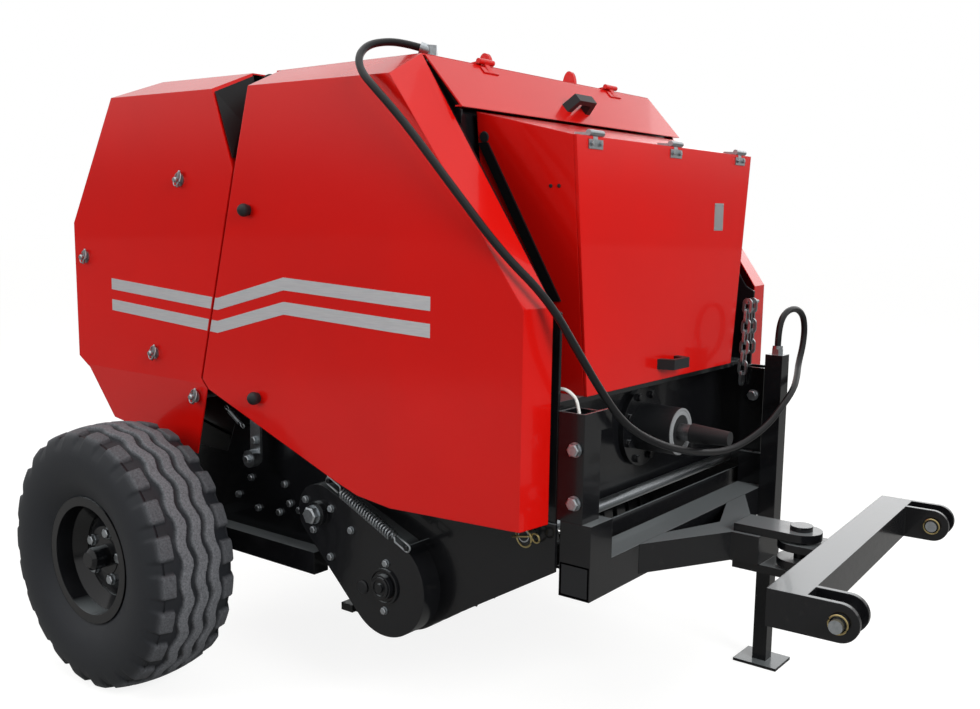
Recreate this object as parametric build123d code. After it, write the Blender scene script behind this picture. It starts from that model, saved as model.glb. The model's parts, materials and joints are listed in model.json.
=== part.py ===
from build123d import *
import math
import os

# Round baler on two wheels, parked on its stand. All sizes are in millimetres.
# While building, x runs forward from the axle, y to the left and z up from the ground.

# Wheels and axle
TYRE_DIAMETER = 710
TYRE_WIDTH = 264
TREAD_WIDTH = 214
TREAD_CROWN = 13
TREAD_GROOVE_WIDTH = 14
TREAD_GROOVE_DEPTH = 11
TREAD_GROOVE_PITCH = 46
RIM_WIDTH = 208
RIM_SEAT_DIAMETER = 305
RIM_FLANGE_DIAMETER = 342
RIM_WELL_DIAMETER = 246
RIM_SHEET = 6
RIM_WELL_WIDTH = 60
DISC_OFFSET = 40
HUB_RADIUS = 52
HUB_LENGTH = 130
HUB_CAP_RADIUS = 30
HUB_CAP_LENGTH = 54
HUB_CAP_BEVEL = 9
HUB_PROUD = 2
DISC_CONE = 27
DISC_LAP = 5
SPINDLE_RADIUS = 25
WHEEL_TRACK = 1624
AXLE_TUBE = 80
AXLE_LENGTH = 1330
FIT = 0.3
CUT_MARGIN = 1

# Side walls of the bale chamber
CHAMBER_WIDTH = 1020
CHAMBER_CENTRE = (230, 1110)
PLATE = 8
GATE_PLATE_GAP = 2
ROLLER_RING_RADIUS = 452
ROLLER_RADIUS = 70
ROLLER_WALL = 5
ROLLER_STEP = 22.5
ROLLER_RIB = 8
FIRST_FIXED_ROLLER = -58
FIXED_ROLLER_COUNT = 6
FIRST_GATE_ROLLER = 100
GATE_ROLLER_COUNT = 7

# Sheet-metal body seen from the side
SHEET = 4
COVER_SHEET = 3
COVER_HALF_WIDTH = 645
RIM_HALF_WIDTH = 535
FRONT_HALF_WIDTH = 630
ROOF_TOP = 1645
BODY_DROP = 50
RIDGE_X = 831
RIDGE_RISE = 7
NOTCH_X = 290
NOTCH_DROP = 256
SPLIT_KNEE = (145, 830)
SPLIT_STEP = (171, 803)
SPLIT_GAP = 8
GATE_TOP_FRONT = 207
GATE_TOP_REAR = -240
GATE_ROOF_FRONT = 240
GATE_ROOF_REAR = -150
GATE_REAR_TOP = (-450, 1239)
GATE_REAR_FOOT = (-444, 839)
GATE_UNDER_EDGE = (-391, 808)
GATE_HEEL = (-294, 664)
GATE_TOE = (88, 608)
GATE_REAR_FLARE = 12
GATE_FOLD_HEIGHT = 815
GATE_FOLD_DEPTH = 25
PIVOT_X = 286
PIVOT_DROP = 45
PIVOT_RADIUS = 25
PIVOT_EAR = 42
COVER_TOP_REAR = 351
ROOF_REAR = 335
COVER_NOSE_TOP = (1201, 1087)
COVER_NOSE_FOOT = (1201, 603)
COVER_FLANGE = 13
COVER_SILL = (838, 594)
COVER_SILL_REAR = (732, 606)
COVER_RAMP = (657, 629)
FOLD_LINE = 838
KNOB_PLACES = ((344, 1285), (373, 803))
KNOB_RADIUS = 18
KNOB_LENGTH = 30
STUD_RADIUS = 8
GATE_PIN_PLACES = ((69, 1363), (-391, 1139), (-62, 881), (118, 777))
GATE_PIN_LENGTH = 22
GATE_PIN_RADIUS = 11
LUG_X = 760
LUG_Y = 200
LUG_BASE = 56
LUG_HEIGHT = 42
LUG_THICKNESS = 10

# Hood over the wrapping gear, and the twine box in front of it
HOOD_FOOT_X = 950
HOOD_FOOT_DROP = 119
HOOD_LIP = 22
MOVING_GAP = 6
BOX_REAR = 944
BOX_FRONT = 1206
BOX_TOP_DROP = 125
LID_TOP_DROP = 184
LID_FOOT = 872
LID_TOP_HALF_WIDTH = 462
LID_FOOT_HALF_WIDTH = 388
LID_THICKNESS = 8
HINGE_RADIUS = 7
HINGE_PIN_RADIUS = 3
HINGE_LENGTH = 60
HINGE_LEAF = 28
HINGE_SHEET = 3
LID_HINGE_PLACES = (-384, 0, 384)
HOOD_HINGE_PLACES = (-300, 300)
SHELF_HEIGHT = 14
SHELF_DEPTH = 96
HANDLE_LENGTH = 110
HANDLE_REACH = 42
HANDLE_BAR = 14
LID_HANDLE_RISE = 42
HOOD_HANDLE_SHARE = 0.68

# Front frame, posts and crossbeam
FRAME_FRONT = 1222
FRONT_PLATE_X = 1128
FRONT_PLATE_FOOT = 545
PLATE_FOOT_FRONT = 548
PLATE_NECK = (560, 540)
PLATE_FOOT_X = 505
PLATE_TAIL_X = -120
CROSSBEAM = 80
CROSSBEAM_REAR = 1235
CROSSBEAM_FOOT = 440
CROSSBEAM_LENGTH = 1036
TUBE_WALL = 6
STUB_HEIGHT = 92
STUB_WIDTH = 92
POST_WIDTH = 70
POST_DEPTH = 70
POST_DROP = 14
POST_BRACKET = 44
SILL_BEAM_HEIGHT = 60
SILL_BEAM_WIDTH = 50
SILL_BEAM_FRONT = 500

# Hitch and swinging drawbar
ARM_WIDTH = 60
ARM_HEIGHT = 72
ARM_SPREAD = 300
ARM_TIP_SPREAD = 62
HITCH_BLOCK_REAR = 1440
HITCH_BLOCK_FRONT = 1530
HITCH_PIN_X = 1592
HITCH_PIN_RADIUS = 15
HITCH_PIN_HEAD = 27
HITCH_PIN_HEAD_HEIGHT = 12
HITCH_PLATE = 20
HITCH_PLATE_WIDTH = 100
HITCH_MIDDLE = 485
DRAWBAR_SWING = 3
DRAWBAR_X = 1707
DRAWBAR_TUBE = 80
DRAWBAR_MIDDLE = 503
DRAIN_RADIUS = 8
TONGUE_PLATE = 18
TONGUE_WIDTH = 110
LINK_SPREAD = 824
LINK_GAP = 54
LINK_PLATE = 12
LINK_PIN_RADIUS = 14
LINK_PIN_X = 1815
LINK_PIN_PROUD = 26

# Parking stand
STAND_TUBE = 50
STAND_Y = 420
STAND_SLEEVE_FOOT = 300
STAND_SLEEVE_TOP = 906
STAND_CAP = 8
STAND_WALL = 4
STAND_LEG_TOP = 640
FOOT_PLATE = 8
FOOT_LENGTH = 130
FOOT_WIDTH = 110

# Drive input
INPUT_DROP = 135
FLANGE_RADIUS = 105
FLANGE_THICKNESS = 15
GUARD_RADIUS = 62
GUARD_LENGTH = 100
GUARD_DISC = 8
GEARBOX_LENGTH = 170
GEARBOX_WIDTH = 220
GEARBOX_HEIGHT = 190
INPUT_COLLAR_RADIUS = 22
INPUT_COLLAR_LENGTH = 34
INPUT_SHAFT_RADIUS = 17.5
CAP_BASE_RADIUS = 26
CAP_TIP_RADIUS = 18
INPUT_TIP = 1397

# Pickup
REEL_AXIS = (770, 372)
REEL_SHAFT_RADIUS = 20
REEL_BAR_RING = 86
REEL_BAR_RADIUS = 11
REEL_BAR_COUNT = 4
REEL_TURN = 24
REEL_DISC = 6
TINE_TIP_RADIUS = 182
TINE_RADIUS = 3.5
TINE_TRAIL = 16
TINE_PITCH = 74
TINE_COLUMN_COUNT = 13
HEX_SIDE_COUNT = 6
STRIPPER_RADIUS = 130
STRIPPER_SHEET = 4
STRIPPER_WIDTH = 48
STRIPPER_REAR = 590
STRIPPER_BEAM = 40
PICKUP_TOP = 602
PICKUP_REAR = 545
PICKUP_NOSE = 1228
PICKUP_NOSE_FOOT = 492
PICKUP_HEEL = 130
GUARD_CASE_RADIUS = 128
GUARD_CASE_SMALL = (540, 515)
GUARD_CASE_SMALL_RADIUS = 75
GUARD_CASE_DEPTH = 62
GUARD_CASE_SHEET = 4
GUARD_BOSS_RADIUS = 32
GUARD_BOSS_HEIGHT = 16
SPRING_TOP = (596, 612)
SPRING_FOOT = (859, 492)
SPRING_RADIUS = 14
SPRING_WIRE = 5
SPRING_Y = 606
SPRING_END = 44
SPRING_STUD = 7
CROP_ROD_AXIS = (1160, 570)
CROP_ROD_RADIUS = 15
CROP_ROD_PROUD = 26
TENSION_ARM = (268, 615)
TENSION_ARM_LENGTH = 110
TENSION_ARM_WIDTH = 40
TENSION_ARM_OFFSET = 40
TENSION_ROLLER_RADIUS = 24

# Chain for the box, and the hydraulic hose
CHAIN_X = 1232
CHAIN_Y = 447
CHAIN_RISE = 162
CHAIN_LEAN = 4.5
CHAIN_LINK = 46
CHAIN_LINK_WIDTH = 28
CHAIN_WIRE = 7
CHAIN_LONG_COUNT = 8
CHAIN_SHORT_COUNT = 5
CHAIN_STRAND_GAP = 36
CHAIN_HOOK_RADIUS = 5
HOSE_DIAMETER = 18
FITTING_RADIUS = 14
FITTING_NUT = 16
HOSE_RUN_SHARE = 0.45
HOSE_ROUTE = [
    (787, -490, 1673),
    (754, -517, 1687),
    (730, -564, 1693),
    (720, -620, 1681),
    (733, -662, 1646),
    (768, -682, 1604),
    (822, -684, 1560),
    (905, -678, 1484),
    (1040, -668, 1338),
    (1150, -640, 1205),
    (1240, -595, 1110),
    (1282, -530, 989),
    (1300, -472, 908),
    (1320, -395, 820),
    (1330, -245, 752),
    (1328, -40, 697),
    (1342, 140, 676),
    (1376, 270, 720),
    (1393, 345, 775), (1393, 420, 815), (1368, 482, 842),
    (1333, 538, 868), (1329, 576, 916), (1328, 586, 972), (1330, 560, 1021), (1334, 509, 1044),
    (1338, 454, 1030), (1340, 420, 986), (1340, 420, 931),
]

# Places that follow from the sizes above
BODY_TOP = ROOF_TOP - BODY_DROP
RIDGE = (RIDGE_X, ROOF_TOP + RIDGE_RISE)
NOTCH = (NOTCH_X, ROOF_TOP - NOTCH_DROP)
PIVOT = (PIVOT_X, ROOF_TOP - PIVOT_DROP)
HOOD_FOOT = (HOOD_FOOT_X, ROOF_TOP - HOOD_FOOT_DROP)
BOX_TOP_REAR = ROOF_TOP - BOX_TOP_DROP
LID_TOP = ROOF_TOP - LID_TOP_DROP
LID_HANDLE_Z = LID_FOOT + LID_HANDLE_RISE
POST_TOP = LID_FOOT - POST_DROP
INPUT_Z = LID_FOOT - INPUT_DROP
CHAIN_TOP = (CHAIN_X, CHAIN_Y, LID_FOOT + CHAIN_RISE)
AXLE_Z = TYRE_DIAMETER / 2
AXLE_TOP = AXLE_Z + AXLE_TUBE / 2
WHEEL_Y = WHEEL_TRACK / 2
WALL_IN = CHAMBER_WIDTH / 2
WALL_OUT = WALL_IN + PLATE
GATE_WALL_OUT = WALL_IN - GATE_PLATE_GAP
GATE_WALL_IN = GATE_WALL_OUT - PLATE
CROSSBEAM_FRONT = CROSSBEAM_REAR + CROSSBEAM
CROSSBEAM_TOP = CROSSBEAM_FOOT + CROSSBEAM
CROSSBEAM_END = CROSSBEAM_LENGTH / 2
PICKUP_WALL_OUT = WALL_OUT + PLATE


def box(x_from, x_to, y_from, y_to, z_from, z_to):
    """Box between two corners."""
    size = Box(x_to - x_from, y_to - y_from, z_to - z_from)
    return Pos((x_from + x_to) / 2, (y_from + y_to) / 2, (z_from + z_to) / 2) * size


def rod_along_y(place, radius, y_from, y_to):
    """Round bar across the machine at a side-view place."""
    return Pos(place[0], (y_from + y_to) / 2, place[1]) * Rot(90, 0, 0) * Cylinder(radius, y_to - y_from)


def rod_along_x(z, radius, x_from, x_to):
    """Round bar on the centre line of the machine."""
    return Pos((x_from + x_to) / 2, 0, z) * Rot(0, 90, 0) * Cylinder(radius, x_to - x_from)


def side_face(points, y):
    """Flat face in the side view."""
    return make_face(Polyline(*[(x, y, z) for x, z in points], close=True))


def plate(points, y_from, y_to):
    """Side-view outline with a thickness across the machine."""
    return extrude(side_face(points, y_from), amount=y_to - y_from, dir=(0, 1, 0))


def both_sides(piece):
    """The left piece and its mirror image on the right."""
    return piece, mirror(piece, about=Plane.XZ)


def crossing(first, second):
    """Point where two side-view lines, each a point and a direction, cross."""
    (px, pz), (dx, dz) = first
    (qx, qz), (ex, ez) = second
    along = ((qx - px) * ez - (qz - pz) * ex) / (dx * ez - dz * ex)
    return (px + along * dx, pz + along * dz)


def moved_edges(points, amounts, closed=True):
    """Outline whose every edge has moved to its left by its own amount."""
    count = len(points)
    lines = []
    for i, amount in enumerate(amounts):
        (x0, z0), (x1, z1) = points[i], points[(i + 1) % count]
        length = math.hypot(x1 - x0, z1 - z0)
        start = (x0 - (z1 - z0) / length * amount, z0 + (x1 - x0) / length * amount)
        lines.append((start, (x1 - x0, z1 - z0)))
    if closed:
        return [crossing(lines[i - 1], lines[i]) for i in range(count)]
    inner = [crossing(lines[i], lines[i + 1]) for i in range(count - 2)]
    (x, z), (dx, dz) = lines[-1]
    return [lines[0][0]] + inner + [(x + dx, z + dz)]


def bent_sheet(points, thickness, half_width):
    """Bent sheet right across the machine, its thickness to the left of the path."""
    back = moved_edges(points, [thickness] * (len(points) - 1), closed=False)
    return plate(points + back[::-1], -half_width, half_width)


def side_shell(outer, inner, open_edges, cut):
    """Hollow side cover between its outer face and its rim, open at its back and along some edges."""
    amounts = [-COVER_SHEET if i in open_edges else COVER_SHEET for i in range(len(outer))]
    form = loft([side_face(outer, COVER_HALF_WIDTH), side_face(inner, RIM_HALF_WIDTH)], ruled=True)
    hollow_front = side_face(moved_edges(outer, amounts), COVER_HALF_WIDTH - COVER_SHEET)
    hollow_back = side_face(moved_edges(inner, amounts), RIM_HALF_WIDTH - COVER_SHEET)
    hollow = loft([hollow_front, hollow_back], ruled=True)
    return (form - cut(0)) - (hollow - cut(COVER_SHEET))


def square_tube(x_from, x_to, y_from, y_to, z_from, z_to, wall):
    """Upright square tube."""
    core = box(x_from + wall, x_to - wall, y_from + wall, y_to - wall, z_from, z_to)
    return box(x_from, x_to, y_from, y_to, z_from, z_to) - core


def wheel_profile(points):
    """Ring turned about the axle from (y, radius) points."""
    face = make_face(Polyline(*[(0, y, radius) for y, radius in points], close=True))
    return revolve(face, axis=Axis.Y)


def tyre():
    """Tyre with rounded side walls and four grooves in its tread."""
    crown = TYRE_DIAMETER / 2
    shoulder = crown - TREAD_CROWN
    seat = RIM_SEAT_DIAMETER / 2 + FIT
    bead = RIM_WIDTH / 2 - RIM_SHEET - FIT
    bulge = (shoulder + RIM_FLANGE_DIAMETER / 2) / 2
    lip = RIM_FLANGE_DIAMETER / 2 + FIT
    bead_left = Line((0, -bead, seat), (0, -bead, lip))
    wall_left = ThreePointArc((0, -bead, lip), (0, -TYRE_WIDTH / 2, bulge), (0, -TREAD_WIDTH / 2, shoulder))
    tread = ThreePointArc((0, -TREAD_WIDTH / 2, shoulder), (0, 0, crown), (0, TREAD_WIDTH / 2, shoulder))
    wall_right = ThreePointArc((0, TREAD_WIDTH / 2, shoulder), (0, TYRE_WIDTH / 2, bulge), (0, bead, lip))
    bead_right = Line((0, bead, lip), (0, bead, seat))
    base = Line((0, bead, seat), (0, -bead, seat))
    section = make_face(bead_left + wall_left + tread + wall_right + bead_right + base)
    ring = revolve(section, axis=Axis.Y)
    half_pitch = TREAD_GROOVE_PITCH / 2
    for place in (-3 * half_pitch, -half_pitch, half_pitch, 3 * half_pitch):
        low, high = place - TREAD_GROOVE_WIDTH / 2, place + TREAD_GROOVE_WIDTH / 2
        floor = shoulder + TREAD_CROWN * (1 - (2 * place / TREAD_WIDTH) ** 2) - TREAD_GROOVE_DEPTH
        ring -= wheel_profile([(low, floor), (high, floor), (high, crown + CUT_MARGIN),
                               (low, crown + CUT_MARGIN)])
    return ring


def rim():
    """Drop-centre rim with its dished disc, hub and hub cap."""
    edge = RIM_WIDTH / 2
    flange, seat, well = RIM_FLANGE_DIAMETER / 2, RIM_SEAT_DIAMETER / 2, RIM_WELL_DIAMETER / 2
    half_well = RIM_WELL_WIDTH / 2
    slope = seat - well
    outside = [(edge, flange), (edge - RIM_SHEET, flange), (edge - RIM_SHEET, seat),
               (half_well + slope, seat),
               (half_well, well)]
    inside = [(half_well - RIM_SHEET / 2, well - RIM_SHEET),
              (half_well + slope - RIM_SHEET / 2, seat - RIM_SHEET),
              (edge, seat - RIM_SHEET)]
    left = [(-y, r) for y, r in outside[::-1]] + [(-y, r) for y, r in inside[::-1]]
    barrel = wheel_profile(outside + left + inside)
    hub_out = DISC_OFFSET + RIM_SHEET + HUB_PROUD
    dish = wheel_profile([(half_well / 2, well - RIM_SHEET / 2),
                          (half_well / 2 + RIM_SHEET, well - RIM_SHEET / 2),
                          (DISC_OFFSET + RIM_SHEET, HUB_RADIUS + DISC_CONE),
                          (DISC_OFFSET + RIM_SHEET, HUB_RADIUS - DISC_LAP),
                          (DISC_OFFSET, HUB_RADIUS - DISC_LAP),
                          (DISC_OFFSET, HUB_RADIUS + DISC_CONE - RIM_SHEET)])
    bore = SPINDLE_RADIUS + FIT
    hub = wheel_profile([(hub_out - HUB_LENGTH, bore), (hub_out - HUB_LENGTH, HUB_RADIUS),
                         (hub_out, HUB_RADIUS),
                         (hub_out, HUB_CAP_RADIUS),
                         (hub_out + HUB_CAP_LENGTH - HUB_CAP_BEVEL, HUB_CAP_RADIUS),
                         (hub_out + HUB_CAP_LENGTH, HUB_CAP_RADIUS - HUB_CAP_BEVEL),
                         (hub_out + HUB_CAP_LENGTH, 0),
                         (hub_out, 0), (hub_out, bore)])
    return barrel + dish + hub


def axle_beam():
    """Axle tube with a spindle at each end."""
    half = AXLE_TUBE / 2
    end = AXLE_LENGTH / 2
    tube = box(-half, half, -end, end, AXLE_Z - half, AXLE_Z + half)
    reach = WHEEL_Y + DISC_OFFSET
    return tube + rod_along_y((0, AXLE_Z), SPINDLE_RADIUS, -reach, reach)


def side_plate():
    """Left wall of the fixed half of the bale chamber, down to the axle."""
    under_roof = SHEET + FIT
    slope_top = (RIDGE[0] - SHEET, RIDGE[1] - under_roof - SHEET)
    slope_foot = (COVER_NOSE_TOP[0] - SHEET, COVER_NOSE_TOP[1])
    half_gap = SPLIT_GAP / 2
    outline = [
        slope_top,
        (ROOF_REAR + half_gap, ROOF_TOP - under_roof),
        (NOTCH[0] + half_gap, NOTCH[1]),
        (SPLIT_KNEE[0] + half_gap, SPLIT_KNEE[1]),
        (SPLIT_STEP[0] + half_gap, SPLIT_STEP[1]),
        (GATE_TOE[0] + half_gap, GATE_TOE[1] - SPLIT_GAP),
        (PLATE_TAIL_X, GATE_TOE[1] - SPLIT_GAP),
        (PLATE_TAIL_X, AXLE_TOP),
        (PLATE_FOOT_X, AXLE_TOP),
        PLATE_NECK,
        (FRAME_FRONT, PLATE_FOOT_FRONT),
        (FRAME_FRONT, slope_foot[1] - COVER_FLANGE),
        slope_foot,
    ]
    ear = Pos(PIVOT[0], 0, PIVOT[1]) * Rot(90, 0, 0) * Cylinder(PIVOT_EAR, PLATE)
    arm = plate([PIVOT, (NOTCH[0] + SPLIT_GAP, NOTCH[1] + PIVOT_EAR), (ROOF_REAR + PIVOT_EAR, PIVOT[1])],
                WALL_IN, WALL_OUT)
    wall = plate(outline, WALL_IN, WALL_OUT) + Pos(0, WALL_IN + PLATE / 2, 0) * ear + arm
    wall -= rod_along_y(PIVOT, PIVOT_RADIUS + FIT, WALL_IN - CUT_MARGIN, WALL_OUT + CUT_MARGIN)
    return wall - rod_along_y(CROP_ROD_AXIS, CROP_ROD_RADIUS + FIT, WALL_IN - CUT_MARGIN,
                              WALL_OUT + CUT_MARGIN)


def roller_places(first, count):
    """Side-view centres of chamber rollers on their ring."""
    places = []
    for i in range(count):
        turn = math.radians(first + i * ROLLER_STEP)
        places.append((CHAMBER_CENTRE[0] + ROLLER_RING_RADIUS * math.cos(turn),
                       CHAMBER_CENTRE[1] + ROLLER_RING_RADIUS * math.sin(turn)))
    return places


def chamber_rollers(places, half_length):
    """Tubular rollers between two walls, each with four drive ribs."""
    length = 2 * (half_length - FIT)
    section = Circle(ROLLER_RADIUS - ROLLER_RIB / 2) - Circle(ROLLER_RADIUS - ROLLER_RIB / 2 - ROLLER_WALL)
    rib_place = Pos(ROLLER_RADIUS - ROLLER_RIB, 0)
    section += [Rot(0, 0, turn) * rib_place * Rectangle(2 * ROLLER_RIB, ROLLER_RIB) for turn in (0, 90, 180,
                                                                                                 270)]
    section -= Circle(ROLLER_RADIUS - ROLLER_RIB / 2 - ROLLER_WALL)
    roller = Rot(90, 0, 0) * extrude(section, amount=length / 2, both=True)
    return Part() + [Pos(x, 0, z) * roller for x, z in places]


def pivot_tube():
    """Cross tube that the tailgate hangs on."""
    return rod_along_y(PIVOT, PIVOT_RADIUS, -WALL_OUT - PLATE, WALL_OUT + PLATE)


def front_cover():
    """Left cover of the fixed half: bevelled at its top and slope, folded inward ahead of the fold line."""
    half_gap = SPLIT_GAP / 2
    split = [(x + half_gap, z) for x, z in (NOTCH, SPLIT_KNEE, SPLIT_STEP)]
    sill = [COVER_RAMP, COVER_SILL_REAR, COVER_SILL]
    nose = [COVER_NOSE_FOOT, COVER_NOSE_TOP]
    outer = [(RIDGE[0], BODY_TOP), (COVER_TOP_REAR, BODY_TOP)] + split + sill + nose
    rim_nose = [(x + COVER_FLANGE, z) for x, z in nose]
    inner = [RIDGE, (COVER_TOP_REAR, ROOF_TOP)] + split + sill + rim_nose
    first_sill = 2 + len(split) - 1
    open_edges = range(first_sill, first_sill + len(sill) + 1)

    def fold(depth):
        """Wedge outside the folded front part of the cover."""
        reach = 2 * COVER_NOSE_FOOT[0] - FOLD_LINE
        outside = COVER_HALF_WIDTH + SHEET
        corners = [(FOLD_LINE, COVER_HALF_WIDTH - depth),
                   (reach, 2 * FRONT_HALF_WIDTH - COVER_HALF_WIDTH - depth), (reach, outside),
                   (FOLD_LINE, outside)]
        return extrude(make_face(Polyline(*corners, close=True)), amount=2 * ROOF_TOP)

    shell = side_shell(outer, inner, open_edges, fold)
    for place in KNOB_PLACES:
        shell -= rod_along_y(place, STUD_RADIUS + FIT, RIM_HALF_WIDTH, COVER_HALF_WIDTH + CUT_MARGIN)
    return shell


def gate_outlines():
    """Outer face and rim of the tailgate's left cover."""
    half_gap = SPLIT_GAP / 2
    split = [(x - half_gap, z) for x, z in (SPLIT_STEP, SPLIT_KNEE, NOTCH)]
    rear = [GATE_REAR_TOP, GATE_REAR_FOOT, GATE_UNDER_EDGE, GATE_HEEL]
    outer = [(GATE_TOP_FRONT, BODY_TOP), (GATE_TOP_REAR, BODY_TOP)] + rear + [GATE_TOE] + split
    rim_rear = [(x - GATE_REAR_FLARE, z) for x, z in rear]
    inner = [(GATE_ROOF_FRONT, ROOF_TOP), (GATE_ROOF_REAR, ROOF_TOP)] + rim_rear + [GATE_TOE] + split
    return outer, inner


def gate_cover():
    """Left cover of the tailgate, its lower part folded inward above the tyre."""
    outer, inner = gate_outlines()

    def fold(depth):
        """Wedge outside the folded lower part of the cover."""
        outside = COVER_HALF_WIDTH + SHEET
        drop = GATE_FOLD_HEIGHT - GATE_TOE[1]
        corners = [(COVER_HALF_WIDTH - depth, GATE_FOLD_HEIGHT),
                   (COVER_HALF_WIDTH - 2 * GATE_FOLD_DEPTH - depth, GATE_FOLD_HEIGHT - 2 * drop),
                   (outside, GATE_FOLD_HEIGHT - 2 * drop), (outside, GATE_FOLD_HEIGHT)]
        reach = 2 * abs(GATE_REAR_TOP[0])
        face = make_face(Polyline(*[(-reach, y, z) for y, z in corners], close=True))
        return extrude(face, amount=2 * reach, dir=(1, 0, 0))

    toe_edge = outer.index(GATE_TOE) - 1
    shell = side_shell(outer, inner, (toe_edge, toe_edge + 1), fold)
    for place in GATE_PIN_PLACES:
        shell -= rod_along_y(place, STUD_RADIUS + FIT, RIM_HALF_WIDTH, COVER_HALF_WIDTH + CUT_MARGIN)
    return shell


def gate_shell():
    """Roof, back and underside of the tailgate as one bent sheet."""
    rim = gate_outlines()[1]
    toe = rim.index(GATE_TOE)
    return bent_sheet(rim[:toe], SHEET, RIM_HALF_WIDTH)


def gate_plate():
    """Left wall of the moving half of the bale chamber, with its hinge ear."""
    rim = gate_outlines()[1]
    wall = plate(moved_edges(rim, [SHEET + FIT] * len(rim)), GATE_WALL_IN, GATE_WALL_OUT)
    inside = Pos(0, GATE_WALL_IN + PLATE / 2, 0)
    ear = inside * Pos(PIVOT[0], 0, PIVOT[1]) * Rot(90, 0, 0) * Cylinder(PIVOT_EAR, PLATE)
    arm = plate([(PIVOT[0], PIVOT[1] + PIVOT_EAR - SHEET), (GATE_TOP_FRONT, PIVOT[1] + PIVOT_EAR - SHEET),
                 (GATE_TOP_FRONT, PIVOT[1] - 2 * PIVOT_EAR), (PIVOT[0], PIVOT[1] - PIVOT_EAR + SHEET)],
                GATE_WALL_IN, GATE_WALL_OUT)
    wall = wall + ear + arm
    return wall - rod_along_y(PIVOT, PIVOT_RADIUS + FIT, GATE_WALL_IN - CUT_MARGIN,
                              GATE_WALL_OUT + CUT_MARGIN)


def studs(places, wall, head_radius, head_length):
    """Cover studs out from a wall, each with a round head against the cover."""
    made = Part()
    for place in places:
        made += rod_along_y(place, STUD_RADIUS, wall, COVER_HALF_WIDTH)
        made += rod_along_y(place, head_radius, COVER_HALF_WIDTH, COVER_HALF_WIDTH + head_length)
    return made


def roof():
    """Fixed roof sheet up to the ridge, with two lifting lugs."""
    sheet = bent_sheet([RIDGE, (ROOF_REAR, ROOF_TOP)], SHEET, RIM_HALF_WIDTH)
    rise = (RIDGE[1] - ROOF_TOP) / (RIDGE[0] - ROOF_REAR)
    height = ROOF_TOP + rise * (LUG_X - LUG_BASE / 2 - ROOF_REAR)
    foot = height + rise * LUG_BASE
    lug = [(LUG_X - LUG_BASE / 2, height), (LUG_X + LUG_BASE / 2, foot), (LUG_X, height + LUG_HEIGHT)]
    for y in (-LUG_Y, LUG_Y):
        sheet += plate(lug, y - LUG_THICKNESS / 2, y + LUG_THICKNESS / 2)
    return sheet


def hood():
    """Hinged sheet over the wrapping gear, with a turned-in lip at its foot."""
    lip = (HOOD_FOOT[0] - HOOD_LIP, HOOD_FOOT[1])
    return bent_sheet([lip, HOOD_FOOT, hood_top()], SHEET, RIM_HALF_WIDTH - MOVING_GAP)


def lid_half_width(z):
    """Half width of the twine box at a height."""
    share = (z - LID_FOOT) / (LID_TOP - LID_FOOT)
    return LID_FOOT_HALF_WIDTH + share * (LID_TOP_HALF_WIDTH - LID_FOOT_HALF_WIDTH)


def front_face(half_widths, x):
    """Symmetric upright face across the machine from (z, half width) pairs."""
    right = [(x, -half, z) for z, half in half_widths]
    left = [(x, half, z) for z, half in half_widths[::-1]]
    return make_face(Polyline(*right, *left, close=True))


def twine_box():
    """Open-fronted box of sheet, wider at its top than at its foot."""
    rear_share = (BOX_TOP_REAR - LID_FOOT) / (LID_TOP - LID_FOOT)
    top_rear_half = LID_FOOT_HALF_WIDTH + rear_share * (LID_TOP_HALF_WIDTH - LID_FOOT_HALF_WIDTH)
    block = extrude(front_face([(LID_FOOT, LID_FOOT_HALF_WIDTH), (BOX_TOP_REAR, top_rear_half)], BOX_REAR),
                    amount=BOX_FRONT - BOX_REAR, dir=(1, 0, 0))
    hollow_top = BOX_TOP_REAR + SHEET
    hollow_half = lid_half_width(hollow_top) - SHEET
    hollow = extrude(front_face([(LID_FOOT + SHEET, LID_FOOT_HALF_WIDTH - SHEET),
                                 (hollow_top, hollow_half)],
                                BOX_REAR + SHEET), amount=BOX_FRONT - BOX_REAR, dir=(1, 0, 0))
    above = plate([(BOX_REAR, BOX_TOP_REAR), (BOX_FRONT, LID_TOP), (BOX_FRONT, 2 * LID_TOP),
                   (BOX_REAR, 2 * LID_TOP)],
                  -WALL_IN, WALL_IN)
    inner_above = Pos(0, 0, -SHEET) * above
    return block - above - (hollow - inner_above)


def box_shelf():
    """Black angle under the box, from wall to wall."""
    top = LID_FOOT
    return box(FRAME_FRONT - SHELF_DEPTH, BOX_FRONT, -WALL_IN, WALL_IN, top - SHELF_HEIGHT, top)


def box_lid():
    """Front lid of the box: a sheet with its edges folded back."""
    back = BOX_FRONT + FIT
    outline = [(LID_FOOT, LID_FOOT_HALF_WIDTH), (LID_TOP, LID_TOP_HALF_WIDTH)]
    hollow = [(z + rise, half - SHEET) for (z, half), rise in zip(outline, (SHEET, -SHEET))]
    pan = extrude(front_face(outline, back), amount=LID_THICKNESS, dir=(1, 0, 0))
    return pan - extrude(front_face(hollow, back), amount=LID_THICKNESS - COVER_SHEET, dir=(1, 0, 0))


def fixed_hinge_leaves(axis, seat, places):
    """Fixed halves of a row of hinges: pin, outer barrels and a leaf back along the sheet to its seat."""
    made = Part()
    third = HINGE_LENGTH / 3
    lifted = (seat[0], seat[1] + HINGE_SHEET)
    front = (axis[0] - HINGE_RADIUS, seat[2])
    for y in places:
        made += rod_along_y(axis, HINGE_PIN_RADIUS, y - HINGE_LENGTH / 2, y + HINGE_LENGTH / 2)
        for y_from in (y - HINGE_LENGTH / 2, y + HINGE_LENGTH / 2 - third):
            made += rod_along_y(axis, HINGE_RADIUS, y_from, y_from + third)
            made += plate([seat[:2], front, axis, lifted], y_from, y_from + third)
    return made


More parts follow.
